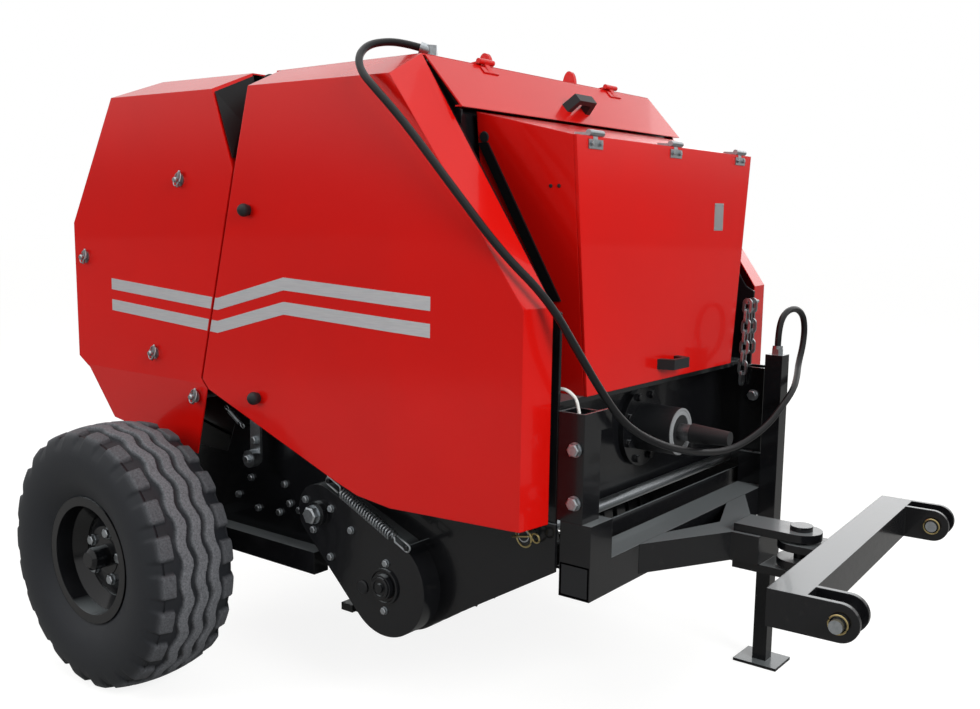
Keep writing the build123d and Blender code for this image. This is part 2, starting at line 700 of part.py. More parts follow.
def moving_hinge_leaves(axis, seat, foot, places):
    """Moving halves of a row of hinges: middle barrel and a wide leaf down the face of the lid."""
    made = Part()
    half = HINGE_LENGTH / 6 - FIT
    clear = HINGE_RADIUS / math.dist(seat, foot)
    shoulder = (seat[0] + clear * (foot[0] - seat[0]), seat[1] + clear * (foot[1] - seat[1]))
    tips = moved_edges([shoulder, foot], [HINGE_SHEET], closed=False)
    for y in places:
        made += plate([axis, seat, foot, tips[1]], y - half, y + half)
        made += plate([shoulder, foot, tips[1], tips[0]], y - HINGE_LENGTH / 2, y + HINGE_LENGTH / 2)
        made += rod_along_y(axis, HINGE_RADIUS, y - half, y + half)
        made -= rod_along_y(axis, HINGE_PIN_RADIUS + FIT, y - half, y + half)
    return made


def lid_hinge_axis():
    """Hinge line of the lid, just above its top edge."""
    return (BOX_FRONT + FIT + LID_THICKNESS, LID_TOP + HINGE_RADIUS)


def lid_hinges():
    """Fixed hinge halves on the top of the twine box."""
    slope = (BOX_TOP_REAR - LID_TOP) / (BOX_FRONT - BOX_REAR)
    seat = (BOX_FRONT - HINGE_LEAF, LID_TOP + slope * HINGE_LEAF, LID_TOP + slope)
    return fixed_hinge_leaves(lid_hinge_axis(), seat, LID_HINGE_PLACES)


def lid_hinge_leaves():
    """Moving hinge halves on the front of the lid."""
    face = BOX_FRONT + FIT + LID_THICKNESS
    foot = (face, LID_TOP - HINGE_LEAF)
    return moving_hinge_leaves(lid_hinge_axis(), (face, LID_TOP), foot, LID_HINGE_PLACES)


def hood_top():
    """Upper edge of the hood, clear of the ridge."""
    return (RIDGE[0] + MOVING_GAP, RIDGE[1] - MOVING_GAP / 2)


def hood_hinge_axis():
    """Hinge line of the hood, just above the ridge."""
    return (RIDGE[0] + MOVING_GAP, RIDGE[1] + HINGE_RADIUS)


def hood_hinges():
    """Fixed hinge halves on the roof along the ridge."""
    rise = (RIDGE[1] - ROOF_TOP) / (RIDGE[0] - ROOF_REAR)
    seat = (RIDGE[0] - HINGE_LEAF, RIDGE[1] - rise * HINGE_LEAF, RIDGE[1])
    return fixed_hinge_leaves(hood_hinge_axis(), seat, HOOD_HINGE_PLACES)


def hood_hinge_leaves():
    """Moving hinge halves on the hood."""
    top = hood_top()
    length = math.dist(top, HOOD_FOOT)
    along = HINGE_LEAF / length
    foot = (top[0] + along * (HOOD_FOOT[0] - top[0]), top[1] + along * (HOOD_FOOT[1] - top[1]))
    return moving_hinge_leaves(hood_hinge_axis(), top, foot, HOOD_HINGE_PLACES)


def grip(length, reach, bar):
    """Bail handle standing off a surface, its feet on the plane x = 0 and its length along y."""
    half = length / 2
    outer = Polyline((0, -half, 0), (reach, -half + bar, 0), (reach, half - bar, 0), (0, half, 0),
                     close=True)
    inner = Polyline((0, -half + 1.5 * bar, 0), (reach - bar, -half + 2 * bar, 0),
                     (reach - bar, half - 2 * bar, 0),
                     (0, half - 1.5 * bar, 0), close=True)
    return extrude(make_face(outer) - make_face(inner), amount=bar / 2, both=True)


def lid_handle():
    """Grip near the foot of the lid."""
    return Pos(BOX_FRONT + FIT + LID_THICKNESS, 0, LID_HANDLE_Z) * grip(HANDLE_LENGTH, HANDLE_REACH,
                                                                        HANDLE_BAR)


def hood_handle():
    """Grip square to the middle of the hood."""
    top = hood_top()
    x = top[0] + HOOD_HANDLE_SHARE * (HOOD_FOOT[0] - top[0])
    z = top[1] + HOOD_HANDLE_SHARE * (HOOD_FOOT[1] - top[1])
    tilt = math.degrees(math.atan2(HOOD_FOOT[0] - top[0], top[1] - HOOD_FOOT[1]))
    return Pos(x, 0, z) * Rot(0, -tilt, 0) * grip(HANDLE_LENGTH, HANDLE_REACH, HANDLE_BAR)


def front_plate():
    """Upright plate across the front of the frame that carries the gearbox."""
    return box(FRONT_PLATE_X, FRONT_PLATE_X + PLATE, -WALL_IN, WALL_IN, FRONT_PLATE_FOOT,
               LID_FOOT - SHELF_HEIGHT)


def gearbox():
    """Gear housing behind the front plate, with its round flange and shaft guard ahead of it."""
    rear = FRONT_PLATE_X - GEARBOX_LENGTH
    housing = box(rear, FRONT_PLATE_X, -GEARBOX_WIDTH / 2, GEARBOX_WIDTH / 2, INPUT_Z - GEARBOX_HEIGHT / 2,
                  INPUT_Z + GEARBOX_HEIGHT / 2)
    front = FRONT_PLATE_X + PLATE
    neck = rod_along_x(INPUT_Z, FLANGE_RADIUS, front, front + FLANGE_THICKNESS)
    return housing + neck


def shaft_guard():
    """Tube and end disc round the drive input."""
    start = FRONT_PLATE_X + PLATE + FLANGE_THICKNESS
    tube = rod_along_x(INPUT_Z, GUARD_RADIUS, start, start + GUARD_LENGTH + GUARD_DISC)
    bore = rod_along_x(INPUT_Z, INPUT_COLLAR_RADIUS + FIT, start + GUARD_LENGTH - INPUT_COLLAR_LENGTH,
                       start + GUARD_LENGTH + GUARD_DISC)
    return tube - bore


def input_shaft():
    """Splined stub with its collar, running in the guard."""
    disc_front = FRONT_PLATE_X + PLATE + FLANGE_THICKNESS + GUARD_LENGTH + GUARD_DISC
    collar = rod_along_x(INPUT_Z, INPUT_COLLAR_RADIUS, disc_front - INPUT_COLLAR_LENGTH,
                         disc_front + INPUT_COLLAR_LENGTH)
    stub = rod_along_x(INPUT_Z, INPUT_SHAFT_RADIUS - FIT, disc_front, INPUT_TIP - SHEET)
    return collar + stub


def input_cap():
    """Tapered transport cap over the stub."""
    start = FRONT_PLATE_X + PLATE + FLANGE_THICKNESS + GUARD_LENGTH + GUARD_DISC + INPUT_COLLAR_LENGTH
    length = INPUT_TIP - start
    cap = Pos(start + length / 2, 0, INPUT_Z) * Rot(0, 90, 0) * Cone(CAP_BASE_RADIUS, CAP_TIP_RADIUS,
                                                                     length)
    return cap - rod_along_x(INPUT_Z, INPUT_SHAFT_RADIUS, start, INPUT_TIP - SHEET)


def crossbeam():
    """Square tube across the front with a stub tube standing on each end."""
    tube = box(CROSSBEAM_REAR, CROSSBEAM_FRONT, -CROSSBEAM_END, CROSSBEAM_END, CROSSBEAM_FOOT,
               CROSSBEAM_TOP)
    tube -= box(CROSSBEAM_REAR + TUBE_WALL, CROSSBEAM_FRONT - TUBE_WALL, -CROSSBEAM_END, CROSSBEAM_END,
                CROSSBEAM_FOOT + TUBE_WALL, CROSSBEAM_TOP - TUBE_WALL)
    stub = box(CROSSBEAM_REAR, CROSSBEAM_FRONT, CROSSBEAM_END - STUB_WIDTH, CROSSBEAM_END, CROSSBEAM_TOP,
               CROSSBEAM_TOP + STUB_HEIGHT)
    left, right = both_sides(stub)
    return tube + left + right


def hitch_post():
    """Left post on the front edge of the wall, standing on the stub."""
    outer = WALL_OUT
    inner = outer - POST_WIDTH
    foot = CROSSBEAM_TOP + STUB_HEIGHT
    return square_tube(FRAME_FRONT, FRAME_FRONT + POST_DEPTH, inner, outer, foot, POST_TOP, TUBE_WALL)


def post_bracket():
    """Small upright tab at the top of the right post."""
    inner = POST_WIDTH - WALL_OUT
    front = FRAME_FRONT + POST_DEPTH
    return box(front - PLATE, front, inner, inner + POST_BRACKET, POST_TOP - POST_BRACKET, POST_TOP)


def hitch_frame():
    """Two arms that meet at a block with an upper and a lower hitch plate."""
    half = ARM_HEIGHT / 2
    low, high = HITCH_MIDDLE - half, HITCH_MIDDLE + half
    outer = [(CROSSBEAM_FRONT, ARM_SPREAD), (HITCH_BLOCK_REAR, ARM_TIP_SPREAD),
             (HITCH_BLOCK_FRONT, ARM_TIP_SPREAD),
             (HITCH_BLOCK_FRONT, 0), (HITCH_BLOCK_REAR - ARM_WIDTH, 0),
             (CROSSBEAM_FRONT, ARM_SPREAD - 2 * ARM_WIDTH)]
    arm = extrude(make_face(Polyline(*[(x, y, low) for x, y in outer], close=True)), amount=high - low)
    left, right = both_sides(arm)
    frame = left + right
    frame -= box(HITCH_PIN_X - TONGUE_WIDTH / 2 - MOVING_GAP - HITCH_PLATE, HITCH_PIN_X, -ARM_TIP_SPREAD,
                 ARM_TIP_SPREAD, low, high)
    for z in (HITCH_MIDDLE + half, HITCH_MIDDLE - half - HITCH_PLATE):
        shape = Pos((HITCH_BLOCK_REAR + HITCH_PIN_X) / 2, 0) * Rectangle(HITCH_PIN_X - HITCH_BLOCK_REAR,
                                                                        HITCH_PLATE_WIDTH)
        shape += Pos(HITCH_PIN_X, 0) * Circle(HITCH_PLATE_WIDTH / 2)
        shape -= Pos(HITCH_PIN_X, 0) * Circle(HITCH_PIN_RADIUS + FIT)
        frame += Pos(0, 0, z) * extrude(shape, amount=HITCH_PLATE)
    return frame


def hitch_pin():
    """Upright drawbar pin with a head on the upper plate and a collar under the lower one."""
    top = HITCH_MIDDLE + ARM_HEIGHT / 2 + HITCH_PLATE
    foot = HITCH_MIDDLE - ARM_HEIGHT / 2 - HITCH_PLATE
    length = top - foot
    shaft = Pos(HITCH_PIN_X, 0, (top + foot) / 2) * Cylinder(HITCH_PIN_RADIUS, length)
    head = Pos(HITCH_PIN_X, 0, top + HITCH_PIN_HEAD_HEIGHT / 2) * Cylinder(HITCH_PIN_HEAD,
                                                                           HITCH_PIN_HEAD_HEIGHT)
    collar = Pos(HITCH_PIN_X, 0, foot - HITCH_PIN_HEAD_HEIGHT / 2) * Cylinder(HITCH_PIN_HEAD,
                                                                              HITCH_PIN_HEAD_HEIGHT)
    return shaft + head + collar


def swung(piece):
    """Piece of the drawbar, swung about the hitch pin as it is parked."""
    return piece.rotate(Axis((HITCH_PIN_X, 0, 0), (0, 0, 1)), DRAWBAR_SWING)


def drawbar():
    """Cross tube with a double tongue on the hitch pin and a two-plate eye at each end."""
    half = DRAWBAR_TUBE / 2
    end = LINK_SPREAD / 2 + LINK_GAP / 2
    low, high = DRAWBAR_MIDDLE - half, DRAWBAR_MIDDLE + half
    bar = box(DRAWBAR_X - half, DRAWBAR_X + half, -end, end, low, high)
    core = half - TUBE_WALL
    bar -= box(DRAWBAR_X - core, DRAWBAR_X + core, -end, end, low + TUBE_WALL, high - TUBE_WALL)
    bar -= Pos(DRAWBAR_X, 0, low) * Cylinder(DRAIN_RADIUS, 2 * TUBE_WALL + CUT_MARGIN)
    fork = ARM_HEIGHT / 2 - MOVING_GAP
    for z in (HITCH_MIDDLE + fork - TONGUE_PLATE, HITCH_MIDDLE - fork):
        shape = Pos((HITCH_PIN_X + DRAWBAR_X - half) / 2, 0) * Rectangle(DRAWBAR_X - half - HITCH_PIN_X,
                                                                         TONGUE_WIDTH)
        shape += Pos(HITCH_PIN_X, 0) * Circle(TONGUE_WIDTH / 2)
        shape -= Pos(HITCH_PIN_X, 0) * Circle(HITCH_PIN_RADIUS + FIT)
        bar += Pos(0, 0, z) * extrude(shape, amount=TONGUE_PLATE)
    eye_z = DRAWBAR_MIDDLE
    inner_to = LINK_SPREAD / 2 - LINK_GAP / 2
    for rear, y_from in ((DRAWBAR_X - half, end), (DRAWBAR_X + half, inner_to - LINK_PLATE)):
        strap = plate([(rear, low), (LINK_PIN_X, low), (LINK_PIN_X, high), (rear, high)], y_from,
                      y_from + LINK_PLATE)
        strap += rod_along_y((LINK_PIN_X, eye_z), half, y_from, y_from + LINK_PLATE)
        strap -= rod_along_y((LINK_PIN_X, eye_z), LINK_PIN_RADIUS + FIT, y_from - CUT_MARGIN,
                             y_from + LINK_PLATE + CUT_MARGIN)
        left, right = both_sides(strap)
        bar = bar + left + right
    return swung(bar)


def link_pins():
    """Pin through each eye of the drawbar, with a collar outside."""
    inner = LINK_SPREAD / 2 - LINK_GAP / 2 - LINK_PLATE - LINK_PIN_PROUD / 2
    outer = LINK_SPREAD / 2 + LINK_GAP / 2 + LINK_PLATE + LINK_PIN_PROUD
    left, right = both_sides(rod_along_y((LINK_PIN_X, DRAWBAR_MIDDLE), LINK_PIN_RADIUS, inner, outer))
    return swung(left + right)


def stand_sleeve():
    """Square sleeve on the front of the crossbeam, closed at its top."""
    half = STAND_TUBE / 2
    sleeve = square_tube(CROSSBEAM_FRONT, CROSSBEAM_FRONT + STAND_TUBE, STAND_Y - half, STAND_Y + half,
                         STAND_SLEEVE_FOOT, STAND_SLEEVE_TOP, STAND_WALL)
    cap = box(CROSSBEAM_FRONT, CROSSBEAM_FRONT + STAND_TUBE, STAND_Y - half, STAND_Y + half,
              STAND_SLEEVE_TOP - STAND_CAP, STAND_SLEEVE_TOP)
    return sleeve + cap


def stand_leg():
    """Inner leg of the parking stand with its foot plate on the ground."""
    x = CROSSBEAM_FRONT + STAND_TUBE / 2
    half = STAND_TUBE / 2 - STAND_WALL - FIT
    leg = square_tube(x - half, x + half, STAND_Y - half, STAND_Y + half, FOOT_PLATE, STAND_LEG_TOP,
                      STAND_WALL)
    foot = box(x - FOOT_LENGTH / 2, x + FOOT_LENGTH / 2, STAND_Y - FOOT_WIDTH / 2, STAND_Y + FOOT_WIDTH / 2,
               0,
               FOOT_PLATE)
    return leg + foot


def sill_beam():
    """Left lower beam from the axle forward, outside the wall."""
    return box(AXLE_TUBE / 2, SILL_BEAM_FRONT, WALL_OUT, WALL_OUT + SILL_BEAM_WIDTH,
               AXLE_TOP - SILL_BEAM_HEIGHT,
               AXLE_TOP)


def pickup_side():
    """Left side plate of the pickup, round at the reel and rising to the nose."""
    corners = [(PICKUP_REAR, PICKUP_TOP), (PICKUP_NOSE, PICKUP_TOP), (PICKUP_NOSE, PICKUP_NOSE_FOOT)]
    rise = PICKUP_NOSE_FOOT - REEL_AXIS[1]
    run = PICKUP_NOSE - REEL_AXIS[0]
    reach = math.hypot(rise, run)
    turn = math.atan2(rise, run) - math.acos(PICKUP_HEEL / reach)
    touch = (REEL_AXIS[0] + PICKUP_HEEL * math.cos(turn), REEL_AXIS[1] + PICKUP_HEEL * math.sin(turn))
    beam_foot = REEL_AXIS[1] + STRIPPER_RADIUS - STRIPPER_BEAM
    outline = corners + [touch, (REEL_AXIS[0] - PICKUP_HEEL, REEL_AXIS[1]), (PICKUP_REAR, beam_foot)]
    side = plate(outline, WALL_OUT, PICKUP_WALL_OUT)
    side += rod_along_y(REEL_AXIS, PICKUP_HEEL, WALL_OUT, PICKUP_WALL_OUT)
    side -= rod_along_y(REEL_AXIS, REEL_SHAFT_RADIUS + FIT, WALL_OUT - CUT_MARGIN,
                        PICKUP_WALL_OUT + CUT_MARGIN)
    return side - rod_along_y(CROP_ROD_AXIS, CROP_ROD_RADIUS + FIT, WALL_OUT - CUT_MARGIN,
                              PICKUP_WALL_OUT + CUT_MARGIN)


def pickup_strippers():
    """Bent bands between the tine rows, on a beam above and a bar below."""
    def bow(radius, rear):
        """Round-nosed outline about the reel, straight towards the rear."""
        length = REEL_AXIS[0] - rear
        return Pos(-length / 2, 0) * Rectangle(length, 2 * radius) + Circle(radius)

    band = bow(STRIPPER_RADIUS + STRIPPER_SHEET, STRIPPER_REAR) - bow(STRIPPER_RADIUS,
                                                                      STRIPPER_REAR - STRIPPER_BEAM)
    strip = extrude(band, amount=STRIPPER_WIDTH / 2, both=True)
    strip = Pos(REEL_AXIS[0], 0, REEL_AXIS[1]) * Rot(90, 0, 0) * strip
    first = -TINE_PITCH * TINE_COLUMN_COUNT / 2
    made = Part() + [Pos(0, first + i * TINE_PITCH, 0) * strip for i in range(TINE_COLUMN_COUNT + 1)]
    top = REEL_AXIS[1] + STRIPPER_RADIUS + STRIPPER_SHEET
    made += box(STRIPPER_REAR - STRIPPER_BEAM, STRIPPER_REAR, -WALL_OUT, WALL_OUT, top - STRIPPER_BEAM, top)
    foot = REEL_AXIS[1] - STRIPPER_RADIUS - STRIPPER_SHEET
    made += box(STRIPPER_REAR - STRIPPER_BEAM, STRIPPER_REAR, -WALL_OUT, WALL_OUT, foot,
                foot + STRIPPER_BEAM / 2)
    return made


def pickup_reel():
    """Reel of tine bars on two discs and a cross shaft, with a row of tines on every bar."""
    half = WALL_OUT - MOVING_GAP
    reel = rod_along_y((0, 0), REEL_SHAFT_RADIUS, -PICKUP_WALL_OUT, PICKUP_WALL_OUT)
    ring = REEL_BAR_RING + 2 * REEL_BAR_RADIUS
    for y in (-half, half - REEL_DISC):
        reel += rod_along_y((0, 0), ring, y, y + REEL_DISC)
    first = -TINE_PITCH * (TINE_COLUMN_COUNT - 1) / 2
    length = TINE_TIP_RADIUS - REEL_BAR_RING
    tine = extrude(RegularPolygon(TINE_RADIUS, HEX_SIDE_COUNT),
                   amount=length / math.cos(math.radians(TINE_TRAIL)))
    tine = Pos(0, 0, REEL_BAR_RING) * Rot(0, -TINE_TRAIL, 0) * tine
    row = rod_along_y((0, REEL_BAR_RING), REEL_BAR_RADIUS, -half, half)
    row += [Pos(0, first + i * TINE_PITCH, 0) * tine for i in range(TINE_COLUMN_COUNT)]
    for i in range(REEL_BAR_COUNT):
        reel += Rot(0, i * 360 / REEL_BAR_COUNT + REEL_TURN, 0) * row
    return Pos(REEL_AXIS[0], 0, REEL_AXIS[1]) * reel


def drive_guard():
    """Right chain guard of the pickup: two round ends, open towards the wall."""
    def case(inset, y_from, y_to):
        """Belt-shaped block round both ends."""
        ends = ((REEL_AXIS, GUARD_CASE_RADIUS - inset), (GUARD_CASE_SMALL, GUARD_CASE_SMALL_RADIUS - inset))
        rings = Sketch() + [Pos(place[0], place[1]) * Circle(radius) for place, radius in ends]
        hull = make_hull(rings.edges())
        return Pos(0, y_to, 0) * Rot(90, 0, 0) * extrude(hull, amount=y_to - y_from)

    inner = -PICKUP_WALL_OUT
    outer = inner - GUARD_CASE_DEPTH
    guard = case(0, outer, inner) - case(GUARD_CASE_SHEET, outer + GUARD_CASE_SHEET, inner)
    for place in (REEL_AXIS, GUARD_CASE_SMALL):
        guard += rod_along_y(place, GUARD_BOSS_RADIUS, outer - GUARD_BOSS_HEIGHT, outer)
    return guard


def float_spring():
    """Right pickup spring: a row of coils with a straight hook at each end."""
    length = math.dist(SPRING_TOP, SPRING_FOOT)
    turns = int((length - 2 * SPRING_END) / (2 * SPRING_WIRE))
    start = SPRING_END
    profile = [(0, 0), (SPRING_WIRE, 0), (SPRING_WIRE, start)]
    for i in range(turns):
        low = start + 2 * SPRING_WIRE * i
        profile += [(SPRING_RADIUS - SPRING_WIRE / 2, low), (SPRING_RADIUS, low + SPRING_WIRE / 2),
                    (SPRING_RADIUS, low + SPRING_WIRE),
                    (SPRING_RADIUS - SPRING_WIRE / 2, low + 1.5 * SPRING_WIRE)]
    end = start + 2 * SPRING_WIRE * turns
    profile += [(SPRING_WIRE, end), (SPRING_WIRE, length), (0, length)]
    coil = revolve(make_face(Polyline(*[(r, 0, z) for r, z in profile], close=True)), axis=Axis.Z)
    lean = math.degrees(math.atan2(SPRING_FOOT[0] - SPRING_TOP[0], SPRING_FOOT[1] - SPRING_TOP[1]))
    spring = Pos(SPRING_TOP[0], -SPRING_Y, SPRING_TOP[1]) * Rot(0, lean, 0) * coil
    tip = -SPRING_Y - SPRING_RADIUS
    spring += rod_along_y(SPRING_TOP, SPRING_STUD, tip, -WALL_OUT)
    return spring + rod_along_y(SPRING_FOOT, SPRING_STUD, tip, -PICKUP_WALL_OUT)


def crop_rod():
    """Bright rod across the front of the pickup."""
    reach = PICKUP_WALL_OUT + CROP_ROD_PROUD
    return rod_along_y(CROP_ROD_AXIS, CROP_ROD_RADIUS, -reach, reach)


def tension_arm():
    """Right chain tensioner: a flat bar on a stub with its roller."""
    outer = -WALL_OUT - TENSION_ARM_OFFSET
    x, z = TENSION_ARM
    half = TENSION_ARM_WIDTH / 2
    arm = box(x - half, x + half, outer - PLATE, outer, z, z + TENSION_ARM_LENGTH)
    arm += rod_along_y(TENSION_ARM, half, outer - PLATE, outer)
    arm += rod_along_y(TENSION_ARM, TENSION_ROLLER_RADIUS, outer - PLATE - TENSION_ROLLER_RADIUS,
                       outer - PLATE)
    return arm + rod_along_y((x, z + TENSION_ARM_LENGTH - half), STUD_RADIUS, outer, -WALL_OUT)


def box_chain():
    """A long leaning strand and a short hanging one on a bar, every second link turned."""
    hole = CHAIN_LINK_WIDTH - 2 * CHAIN_WIRE
    ring = SlotOverall(CHAIN_LINK, CHAIN_LINK_WIDTH) - SlotOverall(CHAIN_LINK - 2 * CHAIN_WIRE, hole)
    link = Rot(0, 90, 0) * extrude(ring, amount=CHAIN_WIRE / 2, both=True)
    seat = math.sqrt(hole ** 2 - CHAIN_WIRE ** 2) / 2
    pitch = CHAIN_LINK - CHAIN_LINK_WIDTH + 2 * seat - FIT
    x, y, z = CHAIN_TOP
    made = []
    for strand, count, lean in ((0, CHAIN_LONG_COUNT, CHAIN_LEAN),
                                (CHAIN_STRAND_GAP, CHAIN_SHORT_COUNT, 0)):
        for i in range(count):
            hung = Pos(x, y + strand, z) * Rot(-lean, 0, 0) * Pos(0, 0, -i * pitch)
            made.append(hung * Rot(0, 0, 90 - 90 * (i % 2)) * link)
    bar_z = z + (CHAIN_LINK - CHAIN_LINK_WIDTH) / 2 + hole / 2 - CHAIN_HOOK_RADIUS - FIT
    bar = rod_along_y((x, bar_z), CHAIN_HOOK_RADIUS, y - CHAIN_WIRE, WALL_OUT)
    bar += Pos(0, WALL_IN + PLATE / 2, 0) * rod_along_x(bar_z, PLATE / 2, FRAME_FRONT, x)
    return Part() + made + bar


def hose():
    """Hydraulic hose from the roof to the stand: straight runs and the widest tangent arcs that fit them."""
    points = [Vector(*point) for point in HOSE_ROUTE]
    runs = [after - before for before, after in zip(points, points[1:])]
    radii = []
    for before, after in zip(runs, runs[1:]):
        half_turn = math.radians(before.get_angle(after)) / 2
        radii.append(HOSE_RUN_SHARE * min(before.length, after.length) / math.tan(half_turn))
    path = FilletPolyline(*points, radius=radii)
    section = Plane(origin=points[0], z_dir=runs[0]) * Circle(HOSE_DIAMETER / 2)
    tube = sweep(section, path=path)
    expected = math.pi * HOSE_DIAMETER ** 2 / 4 * path.length
    print("hose radii", [round(radius) for radius in radii])
    print("hose length", round(path.length), "volume share", round(tube.volume / expected, 4))
    return tube


def hose_fitting():
    """Nut on the roof with a ferrule towards the hose."""
    start = Vector(*HOSE_ROUTE[0])
    back = (start - Vector(*HOSE_ROUTE[1])).normalized()
    base = start + back * 2 * FITTING_RADIUS
    ferrule = extrude(Plane(origin=start, z_dir=back) * Circle(FITTING_RADIUS), amount=2 * FITTING_RADIUS)
    rise = (RIDGE[1] - ROOF_TOP) / (RIDGE[0] - ROOF_REAR)
    foot = ROOF_TOP + rise * (base.X + FITTING_NUT - ROOF_REAR)
    nut = extrude(Pos(base.X, base.Y, foot) * RegularPolygon(FITTING_NUT, HEX_SIDE_COUNT),
                  amount=base.Z + FITTING_RADIUS - foot)
    return ferrule + nut


def hose_coupler():
    """Quick coupler that parks the hose on top of the stand."""
    x, y, top = HOSE_ROUTE[-1]
    nut = extrude(Pos(x, y, STAND_SLEEVE_TOP) * RegularPolygon(FITTING_NUT, HEX_SIDE_COUNT),
                  amount=FITTING_NUT)
    neck = STAND_SLEEVE_TOP + FITTING_NUT
    return nut + extrude(Pos(x, y, neck) * Circle(FITTING_RADIUS), amount=top - neck)


nodes = {}


def pair(name, piece):
    """Keep a left piece and its mirror image under two names."""
    nodes[name + "_left"], nodes[name + "_right"] = both_sides(piece)


pair("tyre", Pos(0, WHEEL_Y, AXLE_Z) * tyre())
pair("rim", Pos(0, WHEEL_Y, AXLE_Z) * rim())
nodes["axle_beam"] = axle_beam()
pair("side_plate", side_plate())
nodes["sill_beams"] = Part() + both_sides(sill_beam())
nodes["front_rollers"] = chamber_rollers(roller_places(FIRST_FIXED_ROLLER, FIXED_ROLLER_COUNT), WALL_IN)
nodes["pivot_tube"] = pivot_tube()
nodes["roof"] = roof()
nodes["hood"] = hood()
nodes["hood_handle"] = hood_handle()
nodes["hood_hinges"] = hood_hinges()
nodes["hood_hinge_leaves"] = hood_hinge_leaves()
pair("side_cover", front_cover())
nodes["cover_knobs"] = Part() + both_sides(studs(KNOB_PLACES, WALL_OUT, KNOB_RADIUS, KNOB_LENGTH))
nodes["twine_box"] = twine_box()
nodes["box_shelf"] = box_shelf()
nodes["box_lid"] = box_lid()
nodes["lid_handle"] = lid_handle()
nodes["lid_hinges"] = lid_hinges()
nodes["lid_hinge_leaves"] = lid_hinge_leaves()
nodes["front_plate"] = front_plate()
nodes["gearbox"] = gearbox()
nodes["shaft_guard"] = shaft_guard()
nodes["input_shaft"] = input_shaft()
nodes["input_cap"] = input_cap()
nodes["crossbeam"] = crossbeam()
pair("hitch_post", hitch_post())
nodes["hitch_post_right"] += post_bracket()
nodes["hitch_frame"] = hitch_frame()
nodes["hitch_pin"] = hitch_pin()
nodes["drawbar"] = drawbar()
nodes["link_pins"] = link_pins()
nodes["stand_sleeve"] = stand_sleeve()
nodes["stand_leg"] = stand_leg()
pair("pickup_side", pickup_side())
nodes["pickup_strippers"] = pickup_strippers()
nodes["pickup_reel"] = pickup_reel()
nodes["drive_guard"] = drive_guard()
nodes["float_spring"] = float_spring()
nodes["crop_rod"] = crop_rod()
nodes["tension_arm"] = tension_arm()
nodes["box_chain"] = box_chain()
pair("gate_cover", gate_cover())
pair("gate_plate", gate_plate())
gate_studs = studs(GATE_PIN_PLACES, GATE_WALL_OUT, GATE_PIN_RADIUS, GATE_PIN_LENGTH)
nodes["gate_pins"] = Part() + both_sides(gate_studs)
nodes["gate_shell"] = gate_shell()
nodes["gate_rollers"] = chamber_rollers(roller_places(FIRST_GATE_ROLLER, GATE_ROLLER_COUNT), GATE_WALL_IN)
nodes["hose"] = hose()
nodes["hose_fitting"] = hose_fitting()
nodes["hose_coupler"] = hose_coupler()

# The origin goes to the ground under the middle of the length
boxes = [piece.bounding_box() for piece in nodes.values()]
middle = (min(b.min.X for b in boxes) + max(b.max.X for b in boxes)) / 2
print("middle of the length, from the axle", round(middle, 3))
os.makedirs("parts", exist_ok=True)
for name, piece in nodes.items():
    export_step(Pos(-middle, 0, 0) * piece, "parts/" + name + ".step")
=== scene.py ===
# %% [markdown]
# A round baler, dressed for the studio. The solids of the machine come in as a fixed frame, so nothing
# here changes a size: this lesson adds what a solid model leaves out, which is tread, fasteners, trim and
# finishes. Places are written as they are on the machine, in millimetres from the wheel axle, and turned
# to metres once.

# %% Load the frame
import json
import math
import bpy
import bmesh
import numpy as np
from mathutils import Matrix, Vector


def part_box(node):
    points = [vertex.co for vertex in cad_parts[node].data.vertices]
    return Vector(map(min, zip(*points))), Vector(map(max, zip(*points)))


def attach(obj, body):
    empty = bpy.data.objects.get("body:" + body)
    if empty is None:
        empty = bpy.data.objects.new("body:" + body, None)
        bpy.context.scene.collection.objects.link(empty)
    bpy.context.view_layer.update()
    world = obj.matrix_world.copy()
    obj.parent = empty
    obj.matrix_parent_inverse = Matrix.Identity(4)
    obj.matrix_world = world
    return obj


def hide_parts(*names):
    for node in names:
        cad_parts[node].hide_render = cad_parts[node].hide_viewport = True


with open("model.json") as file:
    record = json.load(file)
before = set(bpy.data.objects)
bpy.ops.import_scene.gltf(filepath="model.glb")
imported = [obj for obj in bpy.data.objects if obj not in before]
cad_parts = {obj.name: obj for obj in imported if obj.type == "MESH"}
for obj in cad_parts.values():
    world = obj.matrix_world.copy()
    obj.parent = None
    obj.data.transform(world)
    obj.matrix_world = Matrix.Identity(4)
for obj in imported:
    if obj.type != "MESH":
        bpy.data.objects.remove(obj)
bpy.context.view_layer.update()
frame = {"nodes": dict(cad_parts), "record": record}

axle_low, axle_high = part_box("axle_beam")
AXLE_X = (axle_low[0] + axle_high[0]) / 2
MM = 0.001


def metres(places):
    """Millimetres from the axle, scaled to metres and shifted forward or back to the frame's origin."""
    return np.asarray(places, dtype=float) * MM + np.array([AXLE_X, 0.0, 0.0])


print("frame loaded:", len(frame["nodes"]), "solids, axle at", round(AXLE_X, 4))

# %% [markdown]
# The camera stands a little ahead of the machine and to its right, at eye height. It could be aimed at a
# target, but three angles and a focal length keep its exact tilt.

# %% Camera
CAMERA_PLACE = (2484.454, -2435.197, 1282.936)
CAMERA_YAW, CAMERA_PITCH, CAMERA_ROLL = 2.21943, 0.13112, -0.01677
FOCAL_PIXELS, FRAME_PIXELS, SENSOR_MM = 1057.098, 980, 36.0
VIEW_FAR = 200

